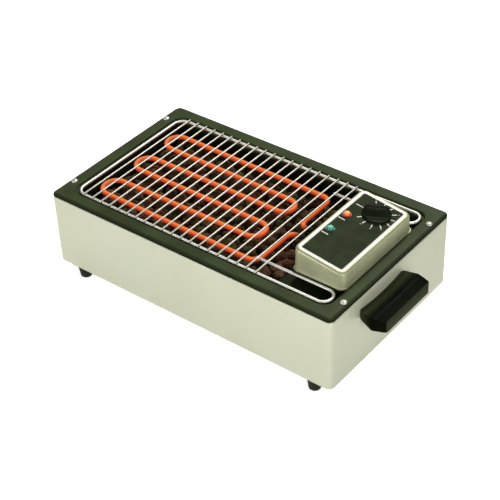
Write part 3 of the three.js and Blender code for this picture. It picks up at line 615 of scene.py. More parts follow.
def pilot_lens(name, edge, middle, centre):
    """A lit lens: pale in its middle and deep in colour at its edge."""
    finish = Finish(name)
    at = finish.add("ShaderNodeVectorMath", {"operation": "SUBTRACT"}, finish.place(), tuple(centre))
    away = finish.add("ShaderNodeVectorMath", {"operation": "LENGTH"}, at, output=1)
    glow = 1.0 - away.ramp(1.8 * MM, 6.8 * MM)
    return finish.surface(
        Base_Color=finish.mix(glow, edge, middle),
        Roughness=0.12,
        Specular_IOR_Level=0.6,
        Emission_Color=finish.mix(glow, scaled(edge, 0.35), middle),
        Emission_Strength=0.55,
    )


def plain(name, tone, roughness, metallic=0.0):
    """One tone with a slight cloud, for small pieces and those that the box hides."""
    tones = scaled(tone, 0.85), scaled(tone, 1.1)
    fine = (500.0, 3.0, 0.1, 0.0003)
    return clouded(name, (50.0, 4.0), tones, (roughness, 0.1), fine, Metallic=metallic)


def studio_floor():
    """The pale floor. Camera, glossy and transmitted rays see it brighter, so the backdrop is white."""
    finish = Finish("studio_floor")
    path = finish.add("ShaderNodeLightPath").socket.node
    kinds = ("Is Camera Ray", "Is Glossy Ray", "Is Transmission Ray")
    seen, glossy, through = (Value(finish, path.outputs[kind]) for kind in kinds)
    lift = (seen + glossy + through).clamped() * 0.68
    glow = finish.add("ShaderNodeEmission", {}, (1.0, 1.0, 1.0), lift)
    matt = finish.add("ShaderNodeBsdfDiffuse", {}, settings().grill_stage.floor)
    both = finish.add("ShaderNodeAddShader", {}, matt, glow)
    finish.tree.links.new(both.socket, finish.output.inputs["Surface"])
    return finish.material


# Mesh helpers


def rounded_loop(low, high, radius, z, steps=8):
    """A closed loop round a rectangle with round corners, seen anticlockwise from above."""
    points = []
    corners = (
        (high[0] - radius, high[1] - radius, 0),
        (low[0] + radius, high[1] - radius, 1),
        (low[0] + radius, low[1] + radius, 2),
        (high[0] - radius, low[1] + radius, 3),
    )
    for x, y, quarter in corners:
        for step in range(steps + 1):
            turn = math.pi / 2 * (quarter + step / steps)
            points.append(Vector((x + radius * math.cos(turn), y + radius * math.sin(turn), z)))
    return points


def centred_loop(half_x, half_y, radius, z, steps):
    return rounded_loop((-half_x, -half_y), (half_x, half_y), radius, z, steps)


def shrink(low, high, inset):
    return (low[0] + inset, low[1] + inset), (high[0] - inset, high[1] - inset)


def arc(centre, radius, start, end, steps):
    """Points of an arc as (across, up) pairs, angles in degrees."""
    points = []
    for step in range(steps + 1):
        turn = math.radians(start + (end - start) * step / steps)
        points.append((centre[0] + radius * math.cos(turn), centre[1] + radius * math.sin(turn)))
    return points


def way(degrees):
    """A level vector of length 1, turned from +X."""
    return Vector((math.cos(math.radians(degrees)), math.sin(math.radians(degrees))))


def loft(bm, loops, closed=False, cap_first=False, cap_last=False):
    """Joins loops of equal length with bands of faces."""
    rows = [[bm.verts.new(point) for point in loop] for loop in loops]
    pairs = list(zip(rows, rows[1:]))
    if closed:
        pairs.append((rows[-1], rows[0]))
    for low, high in pairs:
        count = len(low)
        for i in range(count):
            j = (i + 1) % count
            bm.faces.new((low[i], low[j], high[j], high[i]))
    if cap_first:
        bm.faces.new(list(reversed(rows[0])))
    if cap_last:
        bm.faces.new(rows[-1])


def tube(bm, points, radius, sides, dome=False):
    """A round wire along points, with flat or domed ends."""
    last = len(points) - 1
    side = (points[1] - points[0]).normalized().orthogonal().normalized()
    stations = []
    for i, point in enumerate(points):
        tangent = (points[min(i + 1, last)] - points[max(i - 1, 0)]).normalized()
        side = (side - tangent * side.dot(tangent)).normalized()
        stations.append((point, side, tangent.cross(side), tangent))

    def ring(station, scale=1.0, push=0.0):
        point, first, second, tangent = station
        middle = point + tangent * push * radius
        turns = (math.tau * k / sides for k in range(sides))
        return [middle + (first * math.cos(a) + second * math.sin(a)) * radius * scale for a in turns]

    rings = [ring(station) for station in stations]
    if dome:
        rings[:0] = [ring(stations[0], 0.3, -0.72), ring(stations[0], 0.72, -0.5)]
        rings += [ring(stations[-1], 0.72, 0.5), ring(stations[-1], 0.3, 0.72)]
    loft(bm, rings, cap_first=True, cap_last=True)


def bent_path(corners, z, steps=10):
    """Points along straight runs joined by round right-angle bends. Each corner is (x, y, radius)."""
    points = []
    places = [Vector((x, y, z)) for x, y, _ in corners]
    for i, here in enumerate(places):
        if i in (0, len(corners) - 1):
            points.append(here)
            continue
        radius = corners[i][2]
        back = (places[i - 1] - here).normalized()
        ahead = (places[i + 1] - here).normalized()
        centre = here + (back + ahead) * radius
        for step in range(steps + 1):
            turn = math.pi / 2 * step / steps
            point = centre - ahead * radius * math.cos(turn) - back * radius * math.sin(turn)
            if (point - points[-1]).length > 0.2 * MM:
                points.append(point)
    return points


def finish_mesh(name, bm, sharp=35.0):
    """Turns the drawn faces into a mesh with soft shading and crisp edges."""
    bmesh.ops.remove_doubles(bm, verts=bm.verts, dist=1e-7)
    bmesh.ops.recalc_face_normals(bm, faces=bm.faces)
    mesh = bpy.data.meshes.new(name)
    bm.to_mesh(mesh)
    bm.free()
    mesh.shade_smooth()
    mesh.set_sharp_from_angle(angle=math.radians(sharp))
    return mesh


def lofted(name, loops, sharp=35.0, **ends):
    bm = bmesh.new()
    loft(bm, loops, **ends)
    return finish_mesh(name, bm, sharp)


def turned(name, profile, segments, sharp=35.0):
    """A turned form about Z. The profile is (radius, height) pairs, and closes or ends on the axis."""
    bm = bmesh.new()
    rows = []
    for radius, height in profile:
        count = segments if radius > 1e-7 else 1
        turns = (math.tau * k / segments for k in range(count))
        rows.append([bm.verts.new((radius * math.cos(a), radius * math.sin(a), height)) for a in turns])
    for low, high in zip(rows, rows[1:]):
        for k in range(segments):
            m = k + 1
            ring = []
            for row, index in ((low, k), (low, m), (high, m), (high, k)):
                vert = row[index % len(row)]
                if vert not in ring:
                    ring.append(vert)
            if len(ring) > 2:
                bm.faces.new(ring)
    return finish_mesh(name, bm, sharp)


def new_object(name, data):
    thing = bpy.data.objects.new(name, data)
    bpy.context.scene.collection.objects.link(thing)
    return thing


def add_piece(name, mesh, materials, body, replaced=(), at=None):
    """Puts a mesh in the scene as a piece that rides on a body and stands for CAD nodes."""
    piece = new_object(name, mesh)
    if at is not None:
        piece.matrix_world = at
    for material in materials:
        if mesh.materials.get(material.name) is None:
            mesh.materials.append(material)
    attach(piece, body)
    if replaced:
        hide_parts(*replaced)
    return piece


def dress(material, *names):
    """Gives CAD nodes that stay in view, or hidden inside, their finish."""
    for name in names:
        frame["nodes"][name].data.materials[0] = material


def settled(piece, sharp=35.0):
    """Applies a piece's modifiers to its mesh."""
    bpy.context.view_layer.update()
    graph = bpy.context.evaluated_depsgraph_get()
    mesh = bpy.data.meshes.new_from_object(piece.evaluated_get(graph))
    piece.modifiers.clear()
    piece.data = mesh
    mesh.shade_smooth()
    mesh.set_sharp_from_angle(angle=math.radians(sharp))


def thickened(piece, sheet, sharp):
    """Gives an open shell the thickness of its sheet, inwards."""
    shell = piece.modifiers.new("sheet", "SOLIDIFY")
    shell.thickness = sheet
    shell.offset = -1.0
    settled(piece, sharp)


def softened(piece, width, limit=30.0, sharp=35.0):
    """Rounds the edges that are sharper than the limit."""
    bevel = piece.modifiers.new("soft", "BEVEL")
    bevel.width = width
    bevel.segments = 3
    bevel.angle_limit = math.radians(limit)
    settled(piece, sharp)


def cut_mesh(piece, tools):
    """Takes the tools away from a piece, deletes all of them and returns the mesh that is left."""
    for tool in tools:
        modifier = piece.modifiers.new("cut", "BOOLEAN")
        modifier.operation = "DIFFERENCE"
        modifier.solver = "EXACT"
        modifier.object = tool
    settled(piece)
    mesh = piece.data
    for thing in (piece, *tools):
        bpy.data.objects.remove(thing)
    return mesh


def on_plate(x=0.0, y=0.0, lift=0.0):
    """A matrix on the control box's sloping top, x and y from the dial's centre."""
    across = Vector((TOP_NORMAL.z, 0, -TOP_NORMAL.x))
    turn = Matrix((across, Vector((0, 1, 0)), TOP_NORMAL)).transposed().to_4x4()
    return Matrix.Translation(DIAL_CENTRE) @ turn @ Matrix.Translation((x, y, lift))


# Pieces


class GRILL_OT_casing(bpy.types.Operator):
    """Makes the sheet steel casing with its folded edges"""

    bl_idname = "grill.casing"
    bl_label = "Casing"

    def execute(self, context):
        s = context.scene.grill_casing
        bottom, top, fold, sheet = CASE_LOW.z, CASE_HIGH.z, s.fold_radius, s.sheet
        profile = [(sheet + s.lower_lip, bottom)]
        profile += arc((fold, bottom + fold), fold, 270, 180, 6)
        profile += [(0, bottom + (top - bottom) * k / 8) for k in range(1, 8)]
        profile += arc((fold, top - fold), fold, 180, 90, 6)
        profile += [(sheet + s.upper_lip, top), (sheet + s.upper_lip, top - sheet)]
        profile += arc((fold, top - fold), fold - sheet, 90, 180, 4)
        profile += arc((fold, bottom + fold), fold - sheet, 180, 270, 4)
        profile += [(sheet + s.lower_lip, bottom + sheet)]
        loops = []
        for inset, z in profile:
            low, high = shrink(CASE_LOW, CASE_HIGH, inset)
            loops.append(rounded_loop(low, high, max(s.corner_radius - inset, 0.4 * MM), z, 10))
        mesh = lofted("casing_sheet", loops, closed=True)
        add_piece("casing_sheet", mesh, [sheet_steel()], "casing", ["outer_casing"])
        return {"FINISHED"}


# The crease inside the flange's rolled edge: distance from the edge and depth, in mm
CREASE = ((4.3, 0.86), (4.7, 0.72), (4.95, 0.5), (5.35, 0.04), (5.45, 0.0), (5.9, 0.0), (9.0, 0.0))


class GRILL_OT_tank(bpy.types.Operator):
    """Makes the enamelled tank with its flange, ledge, shelf and deep end"""

    bl_idname = "grill.tank"
    bl_label = "Tank"

    def execute(self, context):
        s = context.scene.grill_tank
        corner = context.scene.grill_casing.corner_radius
        top, skirt = TANK_HIGH.z, CASE_HIGH.z + s.skirt_gap
        loops = []

        def ring(low, high, radius, z):
            loops.append(rounded_loop(low, high, radius, z, 10))

        def outer(inset, z):
            ring(*shrink(TANK_LOW, TANK_HIGH, inset), max(corner - inset, 1.5 * MM), z)

        def opening(inset, end, z, radius):
            low = (MIDDLE_X - s.left + inset, -s.half_width + inset)
            ring(low, (MIDDLE_X + s.right - end, s.half_width - inset), radius, z)

        def well(inset, z):
            side = s.half_width - s.ledge_width - inset
            low = (MIDDLE_X - s.left + s.ledge_width + inset, -side)
            ring(low, (MIDDLE_X + s.shelf_start - inset, side), s.well_corner, z)

        outer(s.skirt_inset, skirt)
        outer(s.skirt_inset - 0.2 * MM, skirt + 0.5 * MM)
        edge = s.edge_radius
        for across, up in arc((edge, top - s.edge_drop - edge * 0.86), edge, 215, 122, 9):
            outer(across, up)
        for across, drop in CREASE:
            outer(across * MM, top - drop * MM)
        soft = s.soft_radius
        for across, up in arc((-soft, top - soft), soft, 90, 0, 5):
            opening(across, across, up, s.opening_radius - across)
        ledge, fillet = top - s.ledge_drop, s.ledge_fillet
        for across, up in arc((fillet, ledge + fillet), fillet, 180, 270, 4):
            opening(across, across, up, s.opening_radius - across)
        for across, up in arc((s.ledge_width - soft, ledge - soft), soft, 90, 0, 5):
            opening(across, s.ledge_end * across / s.ledge_width, up, s.opening_radius - across)
        shelf, fillet = top - s.shelf_drop, s.shelf_fillet
        for across, up in arc((s.ledge_width + fillet, shelf + fillet), fillet, 180, 270, 6):
            opening(across, s.ledge_end + across - s.ledge_width, up, s.well_corner)
        well(s.well_inset, shelf)
        for across, up in arc((s.well_inset, shelf - s.well_bend), s.well_bend, 90, 0, 4):
            well(across, up)
        inner = s.well_inset + s.well_bend + s.well_fillet
        floor = top - s.well_drop
        for across, up in arc((inner, floor + s.well_fillet), s.well_fillet, 180, 270, 6):
            well(across, up)
        mesh = lofted("enamel_tank", loops, 30.0, cap_last=True)
        nodes = ["lava_tank", "top_frame"]
        piece = add_piece("enamel_tank", mesh, [olive_enamel()], "casing", nodes)
        thickened(piece, s.sheet, 30.0)
        return {"FINISHED"}


def screw_mesh(name, radius, height, shank, reach):
    """A pan-head screw with a cross recess. The head's underside is at zero."""
    profile = [(0, -reach), (shank * 0.8, -reach), (shank, -reach + shank * 0.3), (shank, 0)]
    profile += [(radius * 0.97, 0), (radius, height * 0.12), (radius, height * 0.36)]
    for turn in (0.3, 0.6, 0.9, 1.2, 1.4):
        profile.append((radius * math.cos(turn), height * (0.36 + 0.64 * math.sin(turn))))
    profile += [(0, height)]
    body = new_object(name, turned(name, profile, 28))
    tools = []
    arms = (radius * 0.24, radius * 1.15)
    for size in (arms, arms[::-1]):
        bm = bmesh.new()
        bmesh.ops.create_cube(bm, size=1.0)
        bmesh.ops.scale(bm, vec=(*size, height), verts=bm.verts)
        for vert in bm.verts:
            if vert.co.z < 0:
                vert.co.x *= 0.55
                vert.co.y *= 0.55
        bmesh.ops.translate(bm, vec=(0, 0, height * 0.92), verts=bm.verts)
        tools.append(new_object("recess", finish_mesh("recess", bm)))
    return cut_mesh(body, tools)


class GRILL_OT_screws(bpy.types.Operator):
    """Makes the flange and cover screws and gives the hidden screws their plating"""

    bl_idname = "grill.screws"
    bl_label = "Screws"

    def execute(self, context):
        plating = plated_steel()
        flange = screw_mesh("flange_screw", radius=5.2 * MM, height=3.3 * MM, shank=2.0 * MM, reach=11 * MM)
        cover = screw_mesh("cover_screw", radius=4.2 * MM, height=2.3 * MM, shank=1.9 * MM, reach=6 * MM)
        spin = random.Random(5)
        for side in ("front", "rear"):
            for end in ("left", "right"):
                node = f"flange_screw_{side}_{end}"
                middle = sum(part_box(node), Vector()) / 2
                seat = Matrix.Translation((middle.x, middle.y, TANK_HIGH.z + 0.1 * MM))
                turn = Matrix.Rotation(spin.uniform(0, math.pi), 4, "Z")
                name = f"pan_head_{side}_{end}"
                add_piece(name, flange, [plating], "casing", [node], seat @ turn)
                dress(plating, f"foot_screw_{side}_{end}")
            dress(plating, f"handle_screw_{side}")
        box = context.scene.grill_box
        lean = math.atan2(box.draft, (box.low + box.high) / 2)
        stand = Matrix.Rotation(lean - math.pi / 2, 4, "X")
        head_depth = 2.6 * MM
        for end in ("left", "right"):
            node = f"cover_screw_{end}"
            low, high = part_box(node)
            seat = Matrix.Translation(((low.x + high.x) / 2, high.y - head_depth, (low.z + high.z) / 2))
            name = f"pan_head_cover_{end}"
            add_piece(name, cover, [plating], "control_head", [node], seat @ stand)
        return {"FINISHED"}


class GRILL_OT_feet(bpy.types.Operator):
    """Makes the four rubber feet"""

    bl_idname = "grill.feet"
    bl_label = "Feet"

    def execute(self, context):
        low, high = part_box("rubber_foot_front_left")
        top = high.z
        wide = (high.x - low.x) / 2
        taper, toe, chamfer, shoulder = 3 * MM, 2.6 * MM, 0.4 * MM, 1 * MM
        bore, throat, depth = 5 * MM, 2.3 * MM, 9 * MM
        slim = wide - taper
        profile = [(bore, chamfer), (bore + chamfer, 0)]
        profile += arc((slim - toe, toe), toe, 270, 360, 6)
        side = top - toe - shoulder
        profile += [(slim + (wide - slim) * k / 8, toe + side * k / 8) for k in range(1, 9)]
        profile += [(wide - 0.8 * MM, top), (throat, top), (throat, depth), (bore, depth), (bore, chamfer)]
        mesh = turned("rubber_foot", profile, 40, 40.0)
        rubber = foot_rubber()
        for side in ("front", "rear"):
            for end in ("left", "right"):
                node = f"rubber_foot_{side}_{end}"
                middle = sum(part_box(node), Vector()) / 2
                seat = Matrix.Translation((middle.x, middle.y, 0))
                add_piece(f"foot_{side}_{end}", mesh, [rubber], "casing", [node], seat)
        return {"FINISHED"}


class GRILL_OT_handle(bpy.types.Operator):
    """Makes the handle with its scooped top"""

    bl_idname = "grill.handle"
    bl_label = "Handle"

    def execute(self, context):
        s = context.scene.grill_handle
        low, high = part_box("handle")
        wall_gap = 0.3 * MM
        seat = Matrix.Translation((CASE_HIGH.x + wall_gap, (low.y + high.y) / 2, high.z))
        body = new_object("grip", self.outside(s))
        softened(body, 1.2 * MM, limit=42.0, sharp=30.0)
        room = new_object("room", self.inside(s))
        softened(room, 2 * MM)
        mesh = cut_mesh(body, [room])
        add_piece("grip", mesh, [handle_moulding()], "casing", ["handle"], seat)
        return {"FINISHED"}

    def half_at(self, s, x):
        """Half the handle's width at a distance from the wall."""
        inner = s.root_half + (s.knee_half - s.root_half) * x / s.knee
        outer = s.knee_half + (s.tip_half - s.knee_half) * (x - s.knee) / (s.reach - s.knee)
        soft_knee = 0.36 * MM
        half = (inner + outer) / 2 - math.hypot((inner - outer) / 2, soft_knee)
        if x > s.reach - s.tip_radius:
            half -= s.tip_radius * 0.5 * ((x - s.reach + s.tip_radius) / s.tip_radius) ** 2.5
        if x < s.root_radius:
            half -= s.root_radius * 0.55 * (1 - x / s.root_radius) ** 2.5
        return half

    def top_at(self, s, x, y):
        """The top's height: scooped between the wall and the knee, and a step lower outside it."""
        if x <= s.knee:
            share = max(0.0, 1 - (y / (self.half_at(s, x) * 0.92)) ** 2)
            return -s.dip * share * (1 - x / s.knee)
        step = min(1.0, (x - s.knee) / s.step_run)
        return -s.step * (step if step > 0.2 else step * step * 5)

    def outside(self, s):
        """The handle without its hollow: its wall face is at x = 0 and its top at z = 0."""
        rows = 24
        tip_rise = 1.8 * MM
        bm = bmesh.new()

        def bottom_at(x):
            if x <= s.knee:
                return -(s.root_height + (s.height - s.root_height) * x / s.knee)
            return -(s.height - tip_rise * (x - s.knee) / (s.reach - s.knee))

        foot, flat = s.knee + s.step_run, s.reach - s.tip_radius
        spans = (
            (0.0, s.root_radius, (0.0, 0.25, 0.5, 0.75, 1.0)),
            (s.root_radius, s.knee, (0.2, 0.4, 0.6, 0.8, 0.93, 1.0)),
            (s.knee, foot, (0.1, 0.2, 1.0)),
            (foot, flat, (0.35, 0.7, 1.0)),
            (flat, s.reach, (0.3, 0.55, 0.75, 1.0)),
        )
        columns = []
        for x in (start + (end - start) * share for start, end, shares in spans for share in shares):
            half = self.half_at(s, x)
            places = [-half + 2 * half * k / rows for k in range(rows + 1)]
            top, under = [], []
            for y in places:
                top.append(bm.verts.new((x, y, self.top_at(s, x, y))))
                under.append(bm.verts.new((x, y, bottom_at(x))))
            columns.append((top, under))
        for (top_a, under_a), (top_b, under_b) in zip(columns, columns[1:]):
            for k in range(rows):
                bm.faces.new((top_a[k], top_b[k], top_b[k + 1], top_a[k + 1]))
                bm.faces.new((under_a[k], under_a[k + 1], under_b[k + 1], under_b[k]))
            bm.faces.new((top_a[0], under_a[0], under_b[0], top_b[0]))
            bm.faces.new((top_a[rows], top_b[rows], under_b[rows], under_a[rows]))
        for (top, under), order in ((columns[0], 1), (columns[-1], -1)):
            for k in range(rows):
                bm.faces.new((top[k], top[k + 1], under[k + 1], under[k])[::order])
        return finish_mesh("grip", bm, 25.0)

    def inside(self, s):
        """The room that makes the handle a shell, open underneath."""
        rings = []
        root_wall, through = 6 * MM, 5 * MM
        for z, draft in ((-s.height - through, 0.0), (-s.wall - s.dip * 0.8, 1 * MM)):
            near, far = root_wall + draft, s.reach - s.wall - draft
            outline = [(x, self.half_at(s, x) - s.wall - draft) for x in (near, s.knee, far)]
            ring = [Vector((x, -y, z)) for x, y in outline]
            rings.append(ring + [Vector((x, y, z)) for x, y in reversed(outline)])
        return lofted("room", rings, cap_first=True, cap_last=True)


def add_stone(bm, tint_layer, centre, radius, flat, level, rough, tint):
    """Adds one lumpy stone to a mesh."""
    made = bmesh.ops.create_icosphere(bm, subdivisions=level, radius=1.0)["verts"]
    seed = Vector((rough.uniform(-50, 50), rough.uniform(-50, 50), rough.uniform(-50, 50)))
    spin = Matrix.Rotation(rough.uniform(0, math.tau), 3, "Z")
    turn = spin @ Matrix.Rotation(rough.uniform(-0.5, 0.5), 3, "X")
    stretch = Vector((rough.uniform(0.82, 1.12), rough.uniform(0.82, 1.12), flat))
    for vert in made:
        place = vert.co.copy()
        broad = noise.noise(place * 1.1 + seed)
        facet = noise.cell(place * 1.6 + seed) - 0.5
        lumps = noise.fractal(place * 3.2 + seed, 1.0, 2.1, 4)
        swell = 1.0 + 0.3 * broad + 0.1 * facet + 0.12 * lumps
        vert.co = centre + turn @ (place * stretch) * swell * radius
        vert[tint_layer] = tint
    return made


# The scatter of the stones. These aren't settings, because a setting would round them.
STONE_INSET = 7 * MM
TUBE_GAP = 2.2 * MM
LARGE_SINK, SMALL_SINK = (0, 3 * MM), (0.5 * MM, 6 * MM)
WALL_SINK = 19 * MM
DEEP_LEFT, DEEP_REAR, DEEP_FRONT = 24 * MM, 26 * MM, 12 * MM
SHELF_STONES = MIDDLE_X + 0.085
LOWER_RADIUS = 14 * MM
LOWER_LIFT = 15 * MM
LOWER_ROWS, LOWER_COLUMNS = 11, 17
MOST_TRIES = 60000


class GRILL_OT_stones(bpy.types.Operator):
    """Makes the heap of lava stones and the separate stones on top of it"""

    bl_idname = "grill.stones"
    bl_label = "Lava stones"

    def execute(self, context):
        s = context.scene.grill_stones
        rough = random.Random(s.seed)
        stone = lava_stone()
        ceiling = TUBE_LOW.z - TUBE_GAP
        loose = []
        names = [name for name in frame["nodes"] if name.startswith("lava_stone_")]
        names.remove("lava_stone_bed")
        for name in sorted(names):
            low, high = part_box(name)
            loose.append((name, (low + high) / 2, (high - low).xy.length / 2 * 0.72))
        for name, centre, radius in loose:
            bm = bmesh.new()
            layer = bm.verts.layers.float.new("stone_tint")
            add_stone(bm, layer, Vector(), radius, 0.8, 4, rough, rough.random())
            mesh = finish_mesh(name + "_form", bm, 180.0)
            top = max(v.co.z for v in mesh.vertices)
            seat = Matrix.Translation((centre.x, centre.y, ceiling - top - rough.uniform(0, 2.5) * MM))
            add_piece(name + "_form", mesh, [stone], "casing", [name], seat)
        bm = bmesh.new()
        layer = bm.verts.layers.float.new("stone_tint")
        placed = [(centre.xy, radius) for name, centre, radius in loose]
        self.scatter(s, bm, layer, rough, placed, ceiling)
        self.fill(bm, layer, rough)
        gap, shelf_reach = 0.5 * MM, 1.5 * MM
        for vert in bm.verts:
            vert.co.x = min(max(vert.co.x, BED_LOW.x + gap), BED_HIGH.x + shelf_reach)
            vert.co.y = min(max(vert.co.y, BED_LOW.y + gap), BED_HIGH.y - gap)
            vert.co.z = max(vert.co.z, BED_LOW.z + gap)
        mesh = finish_mesh("stone_heap", bm, 180.0)
        add_piece("stone_heap", mesh, [stone], "casing", ["lava_stone_bed"])
        return {"FINISHED"}

    def scatter(self, s, bm, layer, rough, placed, ceiling):
        """Lays the upper stones, large ones first, then small ones between them and a little deeper."""
        low, high = shrink(BED_LOW, BED_HIGH, STONE_INSET)
        made = tries = 0
        while made < s.count:
            tries += 1
            if tries > MOST_TRIES:
                raise RuntimeError(f"Only {made} of {s.count} stones fit")
            large = made < s.large
            middling = s.largest * 0.72
            radius = rough.uniform(middling, s.largest) if large else rough.uniform(s.smallest, middling)
            spot = Vector((rough.uniform(low[0], high[0]), rough.uniform(low[1], high[1])))
            by_shelf = spot.x > SHELF_STONES
            if by_shelf and large:
                radius *= 1.12
            closeness = 0.86 if large else 0.74
            if any((spot - other).length < (radius + size) * closeness for other, size in placed):
                continue
            placed.append((spot, radius))
            made += 1
            sink = rough.uniform(*(LARGE_SINK if large else SMALL_SINK))
            tint = rough.random() ** 1.2
            if by_shelf and spot.y < 0:
                tint = 0.6 + 0.4 * rough.random()
            by_side = spot.y > high[1] - DEEP_REAR or spot.y < low[1] + DEEP_FRONT
            if by_side or spot.x < low[0] + DEEP_LEFT:
                sink += WALL_SINK
            centre = Vector((spot.x, spot.y, 0))
            verts = add_stone(bm, layer, centre, radius, rough.uniform(0.7, 0.9), 3, rough, tint)
            shift = ceiling - sink - max(v.co.z for v in verts)
            for vert in verts:
                vert.co.z += shift

    def fill(self, bm, layer, rough):
        """Fills the bed under the upper stones with even rows."""
        low, high = shrink(BED_LOW, BED_HIGH, STONE_INSET)
        for row in range(LOWER_ROWS):
            for column in range(LOWER_COLUMNS):
                x = low[0] + (high[0] - low[0]) * (column + 0.5 * (row % 2)) / LOWER_COLUMNS
                y = low[1] + (high[1] - low[1]) * row / (LOWER_ROWS - 1)
                centre = Vector((x, y, BED_LOW.z + LOWER_LIFT))
                add_stone(bm, layer, centre, LOWER_RADIUS, 0.9, 2, rough, rough.random() * 0.5)


# How far the element's six runs stray sideways at both ends, in mm, from the front run to the rear one
STONE_END_STRAY = (0.0, 1.6, 3.2, 2.4, 1.8, 1.2)
BOX_END_STRAY = (-2.6, 3.2, 3.0, 2.2, -1.4, -3.4)

# Where the stray goes from one row to the other, and where it fades out beside the tails
STRAY_START, STRAY_RUN = -200 * MM, 250 * MM
TAILS_START, TAILS_HALF, TAILS_FADE = 75 * MM, 20 * MM, 45 * MM


class GRILL_OT_element(bpy.types.Operator):
    """Makes the glowing element and dresses its fittings"""

    bl_idname = "grill.element"
    bl_label = "Heating element"

    def execute(self, context):
        s = context.scene.grill_element
        z = (TUBE_LOW.z + TUBE_HIGH.z) / 2
        runs = [s.pitch * share for share in (2.5, 1.5, 0.5)]
        bend = s.pitch / 2
        half = [
            (TUBE_HIGH.x - MIDDLE_X, s.tail, 0),
            (s.crossover, s.tail, s.bend),
            (s.crossover, runs[0], s.bend),
            (-s.left, runs[0], bend),
            (-s.left, runs[1], bend),
            (s.right, runs[1], bend),
            (s.right, runs[2], bend),
            (-s.left, runs[2], bend),
        ]
        corners = half + [(x, -y, radius) for x, y, radius in reversed(half)]
        points = bent_path(corners, z, 12)
        for point in points:
            point.y += self.stray(point, sorted(runs + [-run for run in runs]))
            point.x += MIDDLE_X
        bm = bmesh.new()
        tube(bm, points, s.radius, 20)
        mesh = finish_mesh("hot_element", bm, 60.0)
        add_piece("hot_element", mesh, [hot_tube()], "control_head", ["heating_element"])
        dress(plated_steel(), "element_bush_front", "element_bush_rear")
        brass = plain("terminal_brass", (0.55, 0.38, 0.12), 0.3, metallic=1.0)
        dress(brass, "element_terminal_front", "element_terminal_rear")
        return {"FINISHED"}

    def stray(self, point, runs):
        """How far the bent tube strays sideways from straight runs. The tails don't stray."""
        reach = min(1.0, max(0.0, (point.x - STRAY_START) / STRAY_RUN))
        ends = zip(STONE_END_STRAY, BOX_END_STRAY)
        strays = [(near * (1 - reach) + far * reach) * MM for near, far in ends]
        place = min(max(point.y, runs[0]), runs[-1])
        stray = strays[-1]
        for low, high, first, second in zip(runs, runs[1:], strays, strays[1:]):
            if place <= high:
                stray = first + (second - first) * (place - low) / (high - low)
                break
        if point.x > TAILS_START:
            stray *= min(1.0, max(0.0, (abs(point.y) - TAILS_HALF) / TAILS_FADE))
        return stray


class GRILL_OT_grid(bpy.types.Operator):
    """Makes the welded wire cooking grid with its finger loops"""

    bl_idname = "grill.grid"
    bl_label = "Cooking grid"

    def execute(self, context):
        s = context.scene.grill_grid
        z = GRID_LOW.z + s.frame_radius
        bend = s.loop_width / 2
        half = [
            (s.loop_return, s.half_width - s.loop_width, 0),
            (s.loop_end, s.half_width - s.loop_width, bend),
            (s.loop_end, s.half_width, bend),
            (-s.left, s.half_width, s.corner_radius),
        ]
        corners = half + [(x, -y, radius) for x, y, radius in reversed(half)]
        cross, frame_wire, weld = range(3)
        bm = bmesh.new()
        tube(bm, bent_path(corners, z, 10), s.frame_radius, 14, dome=True)
        for face in bm.faces:
            face.material_index = frame_wire
        height = z + s.frame_radius + s.cross_radius - s.weld_sink
        reach = s.half_width + s.overhang
        steps = 8
        wobble = random.Random(3)
        for index in range(s.wires):
            x = -s.first + index * s.pitch
            points = []
            for k in range(steps + 1):
                drift = wobble.uniform(-0.12, 0.12) * MM if 0 < k < steps else 0.0
                points.append(Vector((x + drift, -reach + 2 * reach * k / steps, height)))
            tube(bm, points, s.cross_radius, 12, dome=True)
            # Weld blobs where the cross wires meet the long wires, near black: painted shade for each cross
            # wire's shadow.
            for y in (-s.half_width, s.half_width):
                middle = Vector((x, y, z + s.frame_radius * 0.4))
                size = Vector((s.cross_radius * 2.5, s.frame_radius * 1.12, s.frame_radius * 0.8))
                made = bmesh.ops.create_icosphere(bm, subdivisions=2, radius=1.0)["verts"]
                for vert in made:
                    vert.co = middle + vert.co * size
                for face in {face for vert in made for face in vert.link_faces}:
                    face.material_index = weld
        mesh = finish_mesh("wire_grid", bm, 60.0)
        mesh.transform(Matrix.Translation((MIDDLE_X, 0, 0)))
        materials = [None] * 3
        # The frame and cross wires are the same plated wire: the frame wire's paler tone is a painted
        # highlight.
        materials[cross] = bright_wire("cross_wire", (0.7, 0.7, 0.6), (0.82, 0.82, 0.73))
        materials[frame_wire] = bright_wire("frame_wire", (0.92, 0.92, 0.83), (0.98, 0.98, 0.92))
        # Painted shade: the welds are near black.
        materials[weld] = plain("weld_painted_shade", (0.01, 0.01, 0.006), 0.8)
        add_piece("wire_grid", mesh, materials, "cooking_grid", ["cooking_grid"])
        return {"FINISHED"}


# The flange at the foot of the cover: distance inside the wall and height, in mm
COVER_FOOT = ((-1.3, 0), (-1.8, 0.35), (-1.8, 0.9), (-1.4, 1.25))

# The recess that the plate lies in: growth past its floor, depth and corner radius, in mm
RECESS = ((0.25, 0, 1.7), (0, 0.25, 1.5), (0, 1.1, 1.5))

# The plate's edge: distance inside its outline and height over the cover, in mm
PLATE_EDGE = ((0.2, -0.8), (0, -0.6), (0, -0.25), (0.1, -0.08), (0.3, 0))
PLATE_CORNER = 1.5


